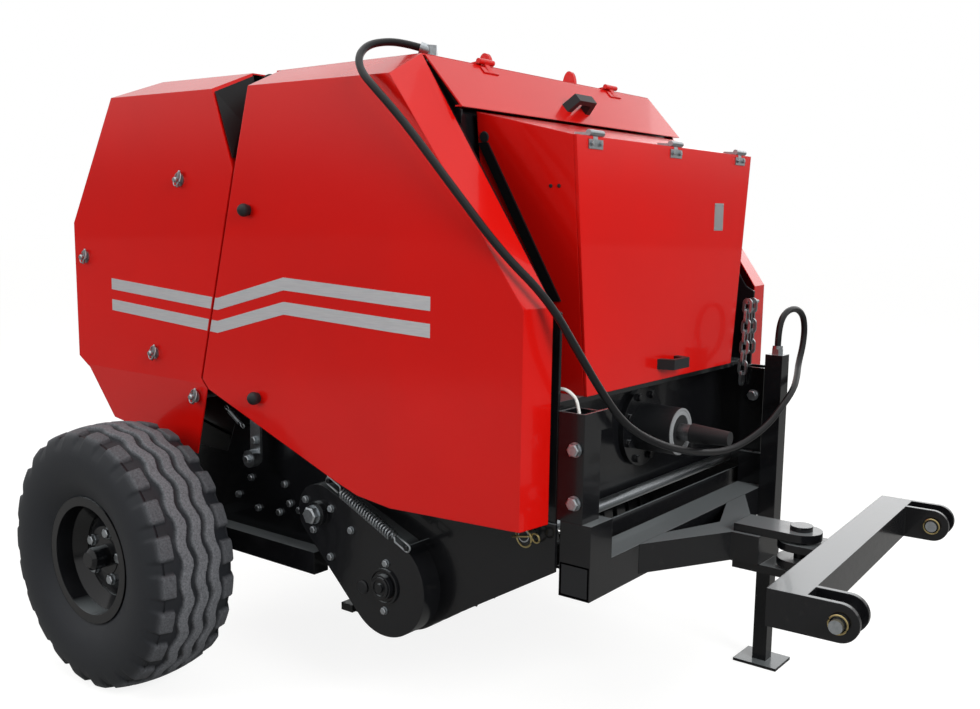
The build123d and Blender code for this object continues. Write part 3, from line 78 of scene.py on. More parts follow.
forward = np.array([math.cos(CAMERA_YAW) * math.cos(CAMERA_PITCH),
                    math.sin(CAMERA_YAW) * math.cos(CAMERA_PITCH),
                    -math.sin(CAMERA_PITCH)])
level = np.array([math.sin(CAMERA_YAW), -math.cos(CAMERA_YAW), 0.0])
below = np.cross(forward, level)
right = math.cos(CAMERA_ROLL) * level + math.sin(CAMERA_ROLL) * below
down = -math.sin(CAMERA_ROLL) * level + math.cos(CAMERA_ROLL) * below
lens = bpy.data.cameras.new("photo_camera")
lens.sensor_width = SENSOR_MM
lens.lens = FOCAL_PIXELS * SENSOR_MM / FRAME_PIXELS
lens.clip_end = VIEW_FAR
camera = bpy.data.objects.new("photo_camera", lens)
bpy.context.scene.collection.objects.link(camera)
turn = Matrix([list(right), list(-down), list(-forward)]).transposed().to_4x4()
camera.matrix_world = Matrix.Translation(metres(CAMERA_PLACE)) @ turn
bpy.context.scene.camera = camera
print("camera lens", round(lens.lens, 2), "mm")

# %% [markdown]
# The hydraulic hose leaves a fitting on the roof, drops down the right side, crosses the front under its
# own weight and is parked on top of the stand. A smooth spline through a cage of control points hangs
# like rubber; straight runs with rounded corners would look like bent wire.

# %% Hydraulic hose
HOSE_DIAMETER = 0.018
HOSE_ORDER, HOSE_STEPS, HOSE_ROUNDNESS = 3, 12, 5
HOSE_ROUTE = [
    (787, -490, 1673), (760, -512, 1682), (742, -558, 1682), (733, -612, 1668), (744, -655, 1636),
    (774, -676, 1598), (822, -684, 1560), (905, -678, 1484), (1040, -668, 1338), (1150, -640, 1205),
    (1240, -595, 1110), (1282, -530, 989), (1300, -472, 908), (1320, -395, 820), (1330, -245, 752),
    (1328, -40, 697), (1342, 140, 676), (1376, 270, 720), (1393, 345, 775), (1393, 420, 812),
    (1374, 490, 838), (1350, 558, 866), (1345, 598, 912), (1344, 610, 966), (1344, 588, 1010),
    (1342, 530, 1032), (1339, 460, 1022), (1340, 420, 982), (1340, 420, 931),
]
route = metres(HOSE_ROUTE)
hose_curve = bpy.data.curves.new("hydraulic_hose", "CURVE")
hose_curve.dimensions = "3D"
spline = hose_curve.splines.new("NURBS")
spline.points.add(len(route) - 1)
spline.points.foreach_set("co", np.column_stack([route, np.ones(len(route))]).ravel())
spline.order_u = HOSE_ORDER
spline.use_endpoint_u = True
hose_curve.resolution_u = HOSE_STEPS
# The points carry the radius and the bevel is one, so that the curve's box is the hose's own.
spline.points.foreach_set("radius", np.full(len(route), HOSE_DIAMETER / 2))
hose_curve.bevel_depth = 1.0
hose_curve.bevel_resolution = HOSE_ROUNDNESS
hose_curve.use_fill_caps = True
hose = bpy.data.objects.new("hydraulic_hose", hose_curve)
bpy.context.scene.collection.objects.link(hose)
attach(hose, "frame")
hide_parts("hose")
print("hose control points:", len(route))

# %% [markdown]
# Colours are written as they would be picked on a screen, so one function takes them to the linear values
# that a renderer mixes. A second small function adds one node with its settings and links, which keeps
# every recipe below readable as a list. Two more start a material and give it a mottled finish.

# %% Colour and node helpers
def colour(hexadecimal):
    """Screen colour to linear: below 0.04045 divide by 12.92, above it raise to the power 2.4."""
    parts = np.array([int(hexadecimal[i:i + 2], 16) for i in (0, 2, 4)]) / 255
    linear = np.where(parts <= 0.04045, parts / 12.92, ((parts + 0.055) / 1.055) ** 2.4)
    return (*[float(part) for part in linear], 1.0)


def add(tree, kind, settings={}, values={}, links={}):
    """One node of a kind, with its settings, its socket values and the sockets that feed it."""
    made = tree.nodes.new(kind)
    for name, value in settings.items():
        setattr(made, name, value)
    for name, value in values.items():
        made.inputs[name].default_value = value
    for name, source in links.items():
        tree.links.new(source, made.inputs[name])
    return made


def new_finish(name, values):
    """Empty material with one main shader; returns the material, its node tree and the shader."""
    material = bpy.data.materials.new(name)
    material.use_nodes = True
    tree = material.node_tree
    shader = tree.nodes["Principled BSDF"]
    for socket, value in values.items():
        shader.inputs[socket].default_value = value
    return material, tree, shader


def mottled(tree, shader, size_mm, detail, tones, shine=None, stretch=(1, 1, 1)):
    """Noise as wide as a size, times a stretch; it mixes two tones and moves the roughness between two."""
    place = add(tree, "ShaderNodeTexCoord").outputs["Object"]
    drawn_out = add(tree, "ShaderNodeMapping", {}, {"Scale": stretch}, {"Vector": place}).outputs["Vector"]
    noise = add(tree, "ShaderNodeTexNoise", {}, {"Scale": 1 / (size_mm * MM), "Detail": detail},
                {"Vector": drawn_out}).outputs["Fac"]
    tone = add(tree, "ShaderNodeMix", {"data_type": "RGBA"}, {6: colour(tones[0]), 7: colour(tones[1])},
               {0: noise})
    tree.links.new(tone.outputs[2], shader.inputs["Base Color"])
    if shine:
        rough = add(tree, "ShaderNodeMapRange", {}, {"To Min": shine[0], "To Max": shine[1]},
                    {"Value": noise})
        tree.links.new(rough.outputs["Result"], shader.inputs["Roughness"])
    return noise


print("helpers ready")

# %% [markdown]
# A studio for a farm machine is a pale floor and large soft lights. The floor stays a real surface, so the
# machine's shadow lies on it; it is grey paper that glows for the camera, because white paper would throw
# too much light up on black paint. The world is white to the camera, and reflections see it dark at the
# horizon and light above, as the edge of a studio is: gloss paint needs something dark to look deep.

# %% Studio
FLOOR_HALF, FLOOR_LIFT, GLOSSY_SHARE, AMBIENT = 40.0, 0.84, 0.05, 0.5
FLOOR_DROP = 0.0005
BAND_FOOT, BAND_TOP, BAND_DARK, BAND_LIGHT = 0.02, 0.13, 0.06, 0.95
floor_mesh = bpy.data.meshes.new("studio_floor")
corners = [(a * FLOOR_HALF, b * FLOOR_HALF, -FLOOR_DROP) for a, b in ((-1, -1), (1, -1), (1, 1), (-1, 1))]
floor_mesh.from_pydata(corners, [], [(0, 1, 2, 3)])
floor = bpy.data.objects.new("studio_floor", floor_mesh)
bpy.context.scene.collection.objects.link(floor)

paper, tree, shader = new_finish("grey_backdrop_paper", {
    "Base Color": colour("8A8A88"), "Roughness": 0.9, "Specular IOR Level": 0.1,
    "Emission Color": (1, 1, 1, 1)})
ray = add(tree, "ShaderNodeLightPath")
direct = add(tree, "ShaderNodeMath", {"operation": "MAXIMUM"},
             links={0: ray.outputs["Is Camera Ray"], 1: ray.outputs["Is Transmission Ray"]})
faint = add(tree, "ShaderNodeMath", {"operation": "MULTIPLY"}, {1: GLOSSY_SHARE},
            {0: ray.outputs["Is Glossy Ray"]})
seen = add(tree, "ShaderNodeMath", {"operation": "MAXIMUM"},
           links={0: direct.outputs[0], 1: faint.outputs[0]})
lift = add(tree, "ShaderNodeMath", {"operation": "MULTIPLY"}, {1: FLOOR_LIFT}, {0: seen.outputs[0]})
tree.links.new(lift.outputs[0], shader.inputs["Emission Strength"])
floor_mesh.materials.append(paper)

world = bpy.data.worlds.new("studio")
bpy.context.scene.world = world
world.use_nodes = True
tree = world.node_tree
tree.nodes.clear()
ray = add(tree, "ShaderNodeLightPath")
place = add(tree, "ShaderNodeTexCoord")
height = add(tree, "ShaderNodeSeparateXYZ", links={"Vector": place.outputs["Generated"]})
band = add(tree, "ShaderNodeMapRange", {"interpolation_type": "SMOOTHSTEP"},
           {"From Min": BAND_FOOT, "From Max": BAND_TOP, "To Min": BAND_DARK, "To Max": BAND_LIGHT},
           {"Value": height.outputs["Z"]})
white = add(tree, "ShaderNodeMath", {"operation": "MAXIMUM"},
            links={0: ray.outputs["Is Camera Ray"], 1: ray.outputs["Is Transmission Ray"]})
mirrored = add(tree, "ShaderNodeMath", {"operation": "MULTIPLY"},
               links={0: ray.outputs["Is Glossy Ray"], 1: band.outputs["Result"]})
strength = add(tree, "ShaderNodeMath", {"operation": "MAXIMUM"},
               links={0: white.outputs[0], 1: mirrored.outputs[0]})
ambient = add(tree, "ShaderNodeMath", {"operation": "MULTIPLY"}, {1: AMBIENT},
              {0: ray.outputs["Is Diffuse Ray"]})
total = add(tree, "ShaderNodeMath", {"operation": "MAXIMUM"},
            links={0: strength.outputs[0], 1: ambient.outputs[0]})
sky = add(tree, "ShaderNodeBackground", {}, {"Color": (1, 1, 1, 1)}, {"Strength": total.outputs[0]})
add(tree, "ShaderNodeOutputWorld", links={"Surface": sky.outputs["Background"]})

# Name, place, aim, width and height, watts, and whether reflections show the lamp.
LAMPS = (
    ("overhead_softbox", (-0.6, -0.2, 5.4), (0.0, 0.0, 0.6), (6.0, 6.0), 85, True),
    ("front_softbox", (5.0, -1.8, 3.0), (0.0, 0.0, 0.7), (2.6, 2.6), 280, False),
    ("side_softbox", (-2.8, -5.0, 2.6), (0.0, 0.0, 0.8), (2.6, 2.6), 135, False),
    ("back_softbox", (-1.6, 5.0, 2.6), (0.0, 0.0, 0.9), (8.0, 3.2), 80, True),
)
for name, place_m, aim, (wide, tall), power, mirrored_too in LAMPS:
    lamp = bpy.data.lights.new(name, "AREA")
    lamp.shape = "RECTANGLE"
    lamp.size = wide
    lamp.size_y = tall
    lamp.energy = power
    lit = bpy.data.objects.new(name, lamp)
    bpy.context.scene.collection.objects.link(lit)
    away = Vector(place_m) - Vector(aim)
    lit.matrix_world = Matrix.Translation(place_m) @ away.to_track_quat("Z", "Y").to_matrix().to_4x4()
    lit.visible_camera = False
    lit.visible_glossy = mirrored_too
bpy.context.scene.view_settings.view_transform = "Standard"
print("lamps:", len(LAMPS))

# %% [markdown]
# The body is pressed sheet with a baked red enamel. Sprayed enamel has a soft orange-peel ripple a couple
# of millimetres wide, drawn coarser here so that it shows, and a clear gloss over a deep colour that is
# never quite even. A painted picture could hold both, but noise worked out from a size has no seams, and
# the rounded folds come from a bevelled normal.

# %% Red enamel
ORANGE_PEEL_MM, CLOUD_MM = 9.0, 260.0
red_enamel, tree, shader = new_finish("baked_red_enamel_on_sheet", {
    "Specular IOR Level": 0.22, "Coat Weight": 0.35, "Coat Roughness": 0.04, "Coat IOR": 1.45})
mottled(tree, shader, CLOUD_MM, 2.0, ("C20E08", "B40B06"), (0.2, 0.27))
place = add(tree, "ShaderNodeTexCoord").outputs["Object"]
peel = add(tree, "ShaderNodeTexNoise", {}, {"Scale": 1 / (ORANGE_PEEL_MM * MM), "Detail": 1.0},
           {"Vector": place})
fold = add(tree, "ShaderNodeBevel", {"samples": 4}, {"Radius": 0.004})
ripple = add(tree, "ShaderNodeBump", {}, {"Strength": 0.015, "Distance": 0.0006},
             {"Height": peel.outputs["Fac"], "Normal": fold.outputs["Normal"]})
tree.links.new(ripple.outputs["Normal"], shader.inputs["Normal"])
print("finish:", red_enamel.name)

# %% [markdown]
# The frame, posts, hitch and rims are black enamel: the same gloss, but pale scuffs show more on black. The
# scuffs are a sharp-edged noise, so they break the shine as handling does, and the faces that look up carry
# a painted sheen, a pale blue-grey that stands for the sky's reflection on the tops.

# %% Black enamel
SCUFF_MM = 14.0
black_enamel, tree, shader = new_finish("gloss_black_enamel_on_steel", {
    "Specular IOR Level": 0.3, "Coat Weight": 0.2, "Coat Roughness": 0.06})
place = add(tree, "ShaderNodeTexCoord").outputs["Object"]
cloud = add(tree, "ShaderNodeTexNoise", {}, {"Scale": 1 / (CLOUD_MM * MM), "Detail": 4.0}, {"Vector": place})
scuff = add(tree, "ShaderNodeTexNoise", {}, {"Scale": 1 / (SCUFF_MM * MM), "Detail": 6.0}, {"Vector": place})
worn = add(tree, "ShaderNodeMapRange", {}, {"From Min": 0.62, "From Max": 0.8, "To Max": 0.14},
           {"Value": scuff.outputs["Fac"]})
deep = add(tree, "ShaderNodeMix", {"data_type": "RGBA"}, {6: colour("0B0B0D"), 7: colour("121315")},
           {0: cloud.outputs["Fac"]})
dusty = add(tree, "ShaderNodeMix", {"data_type": "RGBA"}, {7: colour("4A4845")},
            {0: worn.outputs[0], 6: deep.outputs[2]})
# Painted sheen: faces that look up are mixed halfway to a pale blue-grey, which stands for the sky's
# reflection on the tops.
normal = add(tree, "ShaderNodeNewGeometry").outputs["Normal"]
facing = add(tree, "ShaderNodeSeparateXYZ", links={"Vector": normal})
painted_sheen_on_tops = add(tree, "ShaderNodeMapRange", {}, {"From Min": 0.85, "From Max": 1.0, "To Max": 0.5},
              {"Value": facing.outputs["Z"]})
with_painted_sheen = add(tree, "ShaderNodeMix", {"data_type": "RGBA"}, {7: colour("8E9496")},
             {0: painted_sheen_on_tops.outputs[0], 6: dusty.outputs[2]})
tree.links.new(with_painted_sheen.outputs[2], shader.inputs["Base Color"])
rough = add(tree, "ShaderNodeMapRange", {}, {"To Min": 0.14, "To Max": 0.3}, {"Value": scuff.outputs["Fac"]})
tree.links.new(rough.outputs[0], shader.inputs["Roughness"])
fold = add(tree, "ShaderNodeBevel", {"samples": 4}, {"Radius": 0.003})
ripple = add(tree, "ShaderNodeBump", {}, {"Strength": 0.025, "Distance": 0.0005},
             {"Height": scuff.outputs["Fac"], "Normal": fold.outputs["Normal"]})
tree.links.new(ripple.outputs["Normal"], shader.inputs["Normal"])
print("finish:", black_enamel.name)

# %% [markdown]
# Small hardware is zinc plated: a pale bluish metal whose crystals show as soft blotches a few
# millimetres wide. The rollers are rolled steel with mill marks along their length, which a noise
# stretched in one direction gives.

# %% Zinc plate and rolled steel
SPANGLE_MM, MILL_MARK_MM = 6.0, 4.0
zinc_plate, tree, shader = new_finish("zinc_plated_steel", {"Metallic": 1.0})
mottled(tree, shader, SPANGLE_MM, 3.0, ("C6CACD", "8E9498"), (0.22, 0.46))
rolled_steel, tree, shader = new_finish("rolled_steel_tube", {"Metallic": 1.0})
mottled(tree, shader, MILL_MARK_MM, 4.0, ("8A8B8C", "5C5D60"), (0.3, 0.5), (1.0, 0.06, 1.0))
print("finishes:", zinc_plate.name, rolled_steel.name)

# %% [markdown]
# Guards, caps, knobs and grips are moulded nylon with a fine spark-eroded grain. Hose and tyres are black
# rubber; the tyre carries an attribute that says how high each point stands, because only raised tread
# picks up dust.

# %% Nylon and rubber
GRAIN_MM, WRAP_MM, GRIT_MM = 1.6, 2.5, 5.0
black_nylon, tree, shader = new_finish("moulded_black_nylon", {"Specular IOR Level": 0.4})
grain = mottled(tree, shader, GRAIN_MM, 2.0, ("101113", "1A1B1D"), (0.38, 0.58))
bumpy = add(tree, "ShaderNodeBump", {}, {"Strength": 0.12, "Distance": 0.0004}, {"Height": grain})
tree.links.new(bumpy.outputs["Normal"], shader.inputs["Normal"])

grey_nylon = new_finish("moulded_grey_nylon", {"Base Color": colour("7E8082"), "Roughness": 0.5})[0]
white_tube = new_finish("white_twine_tube_plastic", {"Base Color": colour("D8D8D4"), "Roughness": 0.4})[0]

hose_rubber, tree, shader = new_finish("wrapped_hydraulic_hose_rubber", {"Specular IOR Level": 0.3})
mottled(tree, shader, WRAP_MM, 2.0, ("0A0A0B", "121214"), (0.3, 0.45))
hose_curve.materials.append(hose_rubber)

tyre_rubber, tree, shader = new_finish("dusty_vulcanised_tyre_rubber", {"Specular IOR Level": 0.35})
place = add(tree, "ShaderNodeTexCoord").outputs["Object"]
raised = add(tree, "ShaderNodeAttribute", {"attribute_name": "raised"})
grit = add(tree, "ShaderNodeTexNoise", {}, {"Scale": 1 / (GRIT_MM * MM), "Detail": 6.0, "Roughness": 0.7},
           {"Vector": place})
broken = add(tree, "ShaderNodeMapRange", {},
             {"From Min": 0.34, "From Max": 0.62, "To Min": 0.35, "To Max": 1.0},
             {"Value": grit.outputs["Fac"]})
dust = add(tree, "ShaderNodeMath", {"operation": "MULTIPLY"},
           links={0: raised.outputs["Fac"], 1: broken.outputs[0]})
dark = add(tree, "ShaderNodeMix", {"data_type": "RGBA"}, {6: colour("16181B"), 7: colour("212327")},
           {0: grit.outputs["Fac"]})
tone = add(tree, "ShaderNodeMix", {"data_type": "RGBA"}, {7: colour("6C6E72")},
           {0: dust.outputs[0], 6: dark.outputs[2]})
tree.links.new(tone.outputs[2], shader.inputs["Base Color"])
rough = add(tree, "ShaderNodeMapRange", {}, {"To Min": 0.55, "To Max": 0.85}, {"Value": dust.outputs[0]})
tree.links.new(rough.outputs[0], shader.inputs["Roughness"])
bumpy = add(tree, "ShaderNodeBump", {}, {"Strength": 0.35, "Distance": 0.001},
            {"Height": grit.outputs["Fac"]})
tree.links.new(bumpy.outputs["Normal"], shader.inputs["Normal"])
print("finishes:", black_nylon.name, hose_rubber.name, tyre_rubber.name)

# %% [markdown]
# Every solid of the frame takes the finish of its slot in the record. Finishes could be set one by one,
# but a table shows at a glance which solids share one, and a second one names the few that take another.

# %% Finish the solids
SLOT_FINISH = {"tyre": tyre_rubber, "black_paint": black_enamel, "red_paint": red_enamel,
               "steel": rolled_steel, "zinc": zinc_plate, "black_plastic": black_nylon,
               "hose_rubber": hose_rubber}
OWN_FINISH = {"hitch_pin": black_enamel, "float_spring": zinc_plate}
node_slot = {part["node"]: part["material_slot"] for part in frame["record"]["subparts"]}
for name, solid in frame["nodes"].items():
    solid.data.materials.clear()
    solid.data.materials.append(OWN_FINISH.get(name, SLOT_FINISH[node_slot[name]]))
print("finished solids:", len(frame["nodes"]))

# %% [markdown]
# New pieces are grids of points: rows along one direction of a surface and columns along the other. One
# function turns any stack of such grids into a mesh of quads, joins the seams and turns the faces
# outwards.

# %% Grid surfaces
def surface(name, grids, finish, body, wrap_rows=False, wrap_columns=True, smooth=True, values=None):
    """Quads between neighbouring rows and columns of each grid; wrapped ends meet, doubled points merge."""
    grids = np.asarray(grids, dtype=float)
    if grids.ndim == 3:
        grids = grids[None]
    count, rows, columns = grids.shape[:3]
    row = np.arange(rows if wrap_rows else rows - 1)[None, :, None]
    column = np.arange(columns if wrap_columns else columns - 1)[None, None, :]
    start = np.arange(count)[:, None, None] * rows * columns
    near, far = start + row * columns, start + (row + 1) % rows * columns
    after = (column + 1) % columns
    quads = np.stack([near + column, far + column, far + after, near + after], axis=-1).reshape(-1, 4)
    mesh = bpy.data.meshes.new(name)
    mesh.vertices.add(count * rows * columns)
    mesh.vertices.foreach_set("co", metres(grids).ravel())
    mesh.loops.add(quads.size)
    mesh.loops.foreach_set("vertex_index", quads.ravel().astype(np.int32))
    mesh.polygons.add(len(quads))
    mesh.polygons.foreach_set("loop_start", np.arange(0, quads.size, 4, dtype=np.int32))
    mesh.update(calc_edges=True)
    if values is not None:
        raised = mesh.attributes.new("raised", "FLOAT", "POINT")
        raised.data.foreach_set("value", np.asarray(values, float).ravel())
    work = bmesh.new()
    work.from_mesh(mesh)
    bmesh.ops.remove_doubles(work, verts=work.verts, dist=1e-6)
    bmesh.ops.recalc_face_normals(work, faces=work.faces)
    work.to_mesh(mesh)
    work.free()
    mesh.polygons.foreach_set("use_smooth", np.full(len(mesh.polygons), smooth))
    mesh.materials.append(finish)
    piece = bpy.data.objects.new(name, mesh)
    bpy.context.scene.collection.objects.link(piece)
    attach(piece, body)
    print(name, len(mesh.polygons), "faces")
    return piece


def unit(vectors):
    """Each vector divided by its own length."""
    vectors = np.asarray(vectors, dtype=float)
    return vectors / np.linalg.norm(vectors, axis=-1, keepdims=True)


def side_axes(directions):
    """Two vectors square to each direction and each other, by cross product with a vector well off it."""
    directions = unit(directions)
    helper = np.where(np.abs(directions[..., 2:3]) < 0.9, [0.0, 0.0, 1.0], [1.0, 0.0, 0.0])
    first = unit(np.cross(helper, directions))
    return first, np.cross(directions, first)


def turned(profile, places, directions, sides=24, corners=None):
    """A profile of (along, radius) points spun about each direction; marked rows follow a hexagon."""
    profile = np.asarray(profile, dtype=float)
    places = np.atleast_2d(np.asarray(places, dtype=float))
    directions = unit(np.broadcast_to(np.asarray(directions, dtype=float), places.shape))
    angle = np.arange(sides) * 2 * math.pi / sides
    hexagon = math.cos(math.pi / 6) / np.cos(angle % (math.pi / 3) - math.pi / 6)
    marked = np.zeros(len(profile), bool) if corners is None else np.asarray(corners, bool)
    radius = profile[:, 1:2] * np.where(marked[:, None], hexagon[None, :] / math.cos(math.pi / 6), 1.0)
    first, second = side_axes(directions)
    around = first[:, None, None] * np.cos(angle)[None, None, :, None]
    around = around + second[:, None, None] * np.sin(angle)[None, None, :, None]
    along = profile[None, :, 0, None, None] * directions[:, None, None]
    return places[:, None, None] + along + radius[None, :, :, None] * around


def swept(path, radius, sides=12, closed=False):
    """A round section carried along a path, square to it; open ends close on their middle points."""
    path = np.asarray(path, dtype=float)
    ahead = np.roll(path, -1, axis=0) - np.roll(path, 1, axis=0)
    if not closed:
        ahead[0], ahead[-1] = path[1] - path[0], path[-1] - path[-2]
    ahead = unit(ahead)
    first, second = side_axes(ahead)
    angle = np.arange(sides) * 2 * math.pi / sides
    ring = first[:, None] * np.cos(angle)[None, :, None] + second[:, None] * np.sin(angle)[None, :, None]
    rings = path[:, None] + ring * np.broadcast_to(radius, (len(path),))[:, None, None]
    if closed:
        return rings
    caps = [np.repeat(path[end][None, None], sides, axis=1) for end in (0, -1)]
    return np.concatenate([caps[0], rings, caps[1]])


def capped(loops):
    """Loops of points in a row, with one more before and after, shrunk to the middle of the end loop."""
    loops = np.asarray(loops, dtype=float)
    ends = [np.repeat(loops[end].mean(axis=0)[None, None], loops.shape[1], axis=1) for end in (0, -1)]
    return np.concatenate([ends[0], loops, ends[1]])


# %% [markdown]
# The tyres are ribbed implement tyres: three zig-zag ribs, a row of blocks on each shoulder and short
# scallops below the blocks. A tread could be cut from the solid with booleans, but as a height over the
# tyre's skin it is one formula of the angle and the place across the tread, and the same number says
# where dust lies.

# %% Treaded tyres
CROWN, SHOULDER, TREAD_HALF, BULGE, WIDTH_HALF = 355.0, 342.0, 107.0, 256.65, 132.0
BEAD_HALF, LIP, SEAT = 97.7, 171.3, 152.8
WHEEL_Y, AXLE_Z = 812.0, 355.0
BLOCKS, TREAD_DEPTH, SCALLOP_DEPTH = 22, 11.0, 7.0
RIB_CENTRES, RIB_HALF, ZIGZAG = (-44.0, 0.0, 44.0), 14.5, 5.5
BLOCK_FROM, BLOCK_SHARE, BLOCK_EDGE, BLOCK_STEP, EDGE_MM = 76.0, 0.68, 0.06, 3.0, 2.5
ZIGZAG_SHARPNESS, SCALLOP_SHARE, SHOULDER_BAND = 1.6, 0.55, 0.5
BLOCK_DUST, SCALLOP_DUST, SCALLOP_DUST_SHARE = 0.55, 0.3, 0.2
ANGLE_STEPS, TREAD_STEPS, WALL_STEPS = 440, 90, 22
SIDES = ((1, "left"), (-1, "right"))


def arc_through(first, middle, last, steps):
    """Points of the circle through three points: its centre solves two equal-distance equations."""
    first, middle, last = (np.array(point, float) for point in (first, middle, last))
    sides = np.array([middle - first, last - first])
    centre = np.linalg.solve(2 * sides, (np.array([middle @ middle, last @ last]) - first @ first))
    start, halfway, end = (math.atan2(*(point - centre)[::-1]) for point in (first, middle, last))
    sweep = np.unwrap([start, halfway, end])
    angles = np.linspace(sweep[0], sweep[2], steps)
    return centre + np.linalg.norm(first - centre) * np.column_stack([np.cos(angles), np.sin(angles)])


def smooth_step(value):
    """Rises from 0 to 1 between 0 and 1 as 3t^2 - 2t^3."""
    value = np.clip(value, 0, 1)
    return value * value * (3 - 2 * value)


def tyre_grid(side):
    """Skin of the tyre: its profile spun about the axle, sunk along its normal where tread is cut away."""
    wall = arc_through((-BEAD_HALF, LIP), (-WIDTH_HALF, BULGE), (-TREAD_HALF, SHOULDER), WALL_STEPS)
    tread = arc_through((-TREAD_HALF, SHOULDER), (0, CROWN), (TREAD_HALF, SHOULDER), TREAD_STEPS)
    profile = np.vstack([[(-BEAD_HALF, SEAT)], wall, tread[1:-1], wall[::-1] * (-1, 1), [(BEAD_HALF, SEAT)]])
    slope = np.gradient(profile, axis=0)
    normal = unit(np.column_stack([-slope[:, 1], slope[:, 0]]))
    across, radius = profile[:, 0], profile[:, 1]
    turns = np.arange(ANGLE_STEPS) / ANGLE_STEPS
    wave = 2 * np.abs(2 * (turns * BLOCKS % 1) - 1) - 1
    bend = np.clip(ZIGZAG_SHARPNESS * wave, -1, 1) * ZIGZAG
    offsets = np.stack([np.abs(across[None, :] - centre - bend[:, None]) for centre in RIB_CENTRES])
    ribs = smooth_step((RIB_HALF + EDGE_MM / 2 - offsets) / EDGE_MM).max(axis=0)
    phase = np.abs((turns[:, None] * BLOCKS + np.where(across > 0, 0.5, 0.0)[None, :]) % 1 - 0.5)
    lug = smooth_step((BLOCK_SHARE / 2 - phase) / BLOCK_EDGE)
    inner = smooth_step((np.abs(across)[None, :] - BLOCK_FROM + BLOCK_STEP * lug) / EDGE_MM)
    on_tread = (radius > SHOULDER - SHOULDER_BAND)[None, :]
    below_edge = np.clip((SHOULDER - radius) / (SHOULDER - BULGE), 0, None)[None, :]
    blocks = inner * lug
    sunk = np.where(on_tread, (1 - np.maximum(ribs, blocks)) * TREAD_DEPTH,
                    (1 - lug) * SCALLOP_DEPTH * smooth_step(1 - below_edge / SCALLOP_SHARE))
    worn = np.where(on_tread, np.maximum(ribs, BLOCK_DUST * blocks),
                    SCALLOP_DUST * lug * smooth_step(1 - below_edge / SCALLOP_DUST_SHARE))
    skin_y = across[None, :] - normal[None, :, 0] * sunk
    skin_r = radius[None, :] - normal[None, :, 1] * sunk
    around = turns[:, None] * 2 * math.pi
    grid = np.stack([skin_r * np.sin(around), side * WHEEL_Y + skin_y, AXLE_Z + skin_r * np.cos(around)],
                    axis=-1)
    return grid, worn


for side, hand in SIDES:
    grid, worn = tyre_grid(side)
    tyre = surface(f"treaded_tyre_{hand}", grid, tyre_rubber, f"wheel_{hand}", wrap_rows=True,
                   values=worn)
    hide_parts(f"tyre_{hand}")

# %% [markdown]
# Hexagon bolts and nuts are one turned profile whose middle rows follow a hexagon instead of a circle. A
# list of places makes a whole set as one mesh, so a row of bolts rides on its body as one piece.

# %% Fasteners
BOLT_PROFILE = ((0, 0), (0, 0.62), (0.1, 0.62), (0.1, 0.5), (0.48, 0.5), (0.56, 0.42), (0.56, 0))
BOLT_CORNERS = (False, False, False, True, True, False, False)
FRONT, RIGHT = (1, 0, 0), (0, -1, 0)


def bolts(name, places, directions, size, body, finish=None):
    """Washer, hexagon and chamfer, each a share of the size across the corners, turned at every place."""
    grids = turned(np.array(BOLT_PROFILE) * size, places, directions, 24, BOLT_CORNERS)
    return surface(name, grids, finish or zinc_plate, body, smooth=False)


NUT_CIRCLE, NUT_COUNT, NUT_TURN, NUT_SIZE, DISC_FACE = 66.0, 5, 0.2, 24.0, 46.0
spokes = NUT_TURN + np.arange(NUT_COUNT) * 2 * math.pi / NUT_COUNT
for side, hand in SIDES:
    ring = np.column_stack([NUT_CIRCLE * np.sin(spokes), np.full(NUT_COUNT, side * (WHEEL_Y + DISC_FACE)),
                            AXLE_Z + NUT_CIRCLE * np.cos(spokes)])
    bolts(f"wheel_nuts_{hand}", ring, (0, side, 0), NUT_SIZE, f"wheel_{hand}")

FLANGE_FACE, INPUT_Z, FLANGE_CIRCLE, FLANGE_BOLTS, FLANGE_BOLT_SIZE = 1151.0, 737.0, 88.0, 8, 18.0
spokes = (np.arange(FLANGE_BOLTS) + 0.5) * 2 * math.pi / FLANGE_BOLTS
ring = np.column_stack([np.full(FLANGE_BOLTS, FLANGE_FACE), FLANGE_CIRCLE * np.sin(spokes),
                        INPUT_Z + FLANGE_CIRCLE * np.cos(spokes)])
bolts("gearbox_flange_bolts", ring, FRONT, FLANGE_BOLT_SIZE, "frame", black_enamel)

WALL_Y, PICKUP_WALL_Y, POST_INNER_Y = 518.0, 526.0, 448.0
POST_BOLTS, POST_BOLT_SIZE = ((1270, 778), (1271, 658)), 27.0
POST_INNER_X, POST_INNER_Z, POST_INNER_SIZE = 1262, 777, 26.0
bolts("post_bolts", [(x, side * WALL_Y, z) for side in (1, -1) for x, z in POST_BOLTS],
      [(0, side, 0) for side in (1, -1) for place in POST_BOLTS], POST_BOLT_SIZE, "frame")
bolts("post_inner_bolts", [(POST_INNER_X, side * POST_INNER_Y, POST_INNER_Z) for side in (1, -1)],
      [(0, -side, 0) for side in (1, -1)], POST_INNER_SIZE, "frame")

GUARD_FACE, BOSS_FACE = -588.0, -604.0
GUARD_SHAFT, REEL_AXIS = (540, 515), (770, 372)
GUARD_BOLTS = ((493, 543), (586, 535), (522, 468), (657, 492), (584, 408), (776, 432), (771, 310))
GUARD_BOLT_SIZE, SHAFT_BOLT_SIZE = 16.0, 40.0
bolts("guard_bolts", [(x, GUARD_FACE, z) for x, z in GUARD_BOLTS], RIGHT, GUARD_BOLT_SIZE, "frame")
bolts("guard_shaft_bolt", [(GUARD_SHAFT[0], BOSS_FACE, GUARD_SHAFT[1])], RIGHT, SHAFT_BOLT_SIZE, "frame")

WALL_BOLTS = ((196, 539), (335, 543), (141, 481), (225, 456), (313, 460), (355, 492), (393, 480))
WALL_BOLT_SIZE = 17.0
for side, hand in reversed(SIDES):
    places = [(x, side * WALL_Y, z) for x, z in WALL_BOLTS]
    bolts(f"{hand}_wall_bolts", places, (0, side, 0), WALL_BOLT_SIZE, "frame")

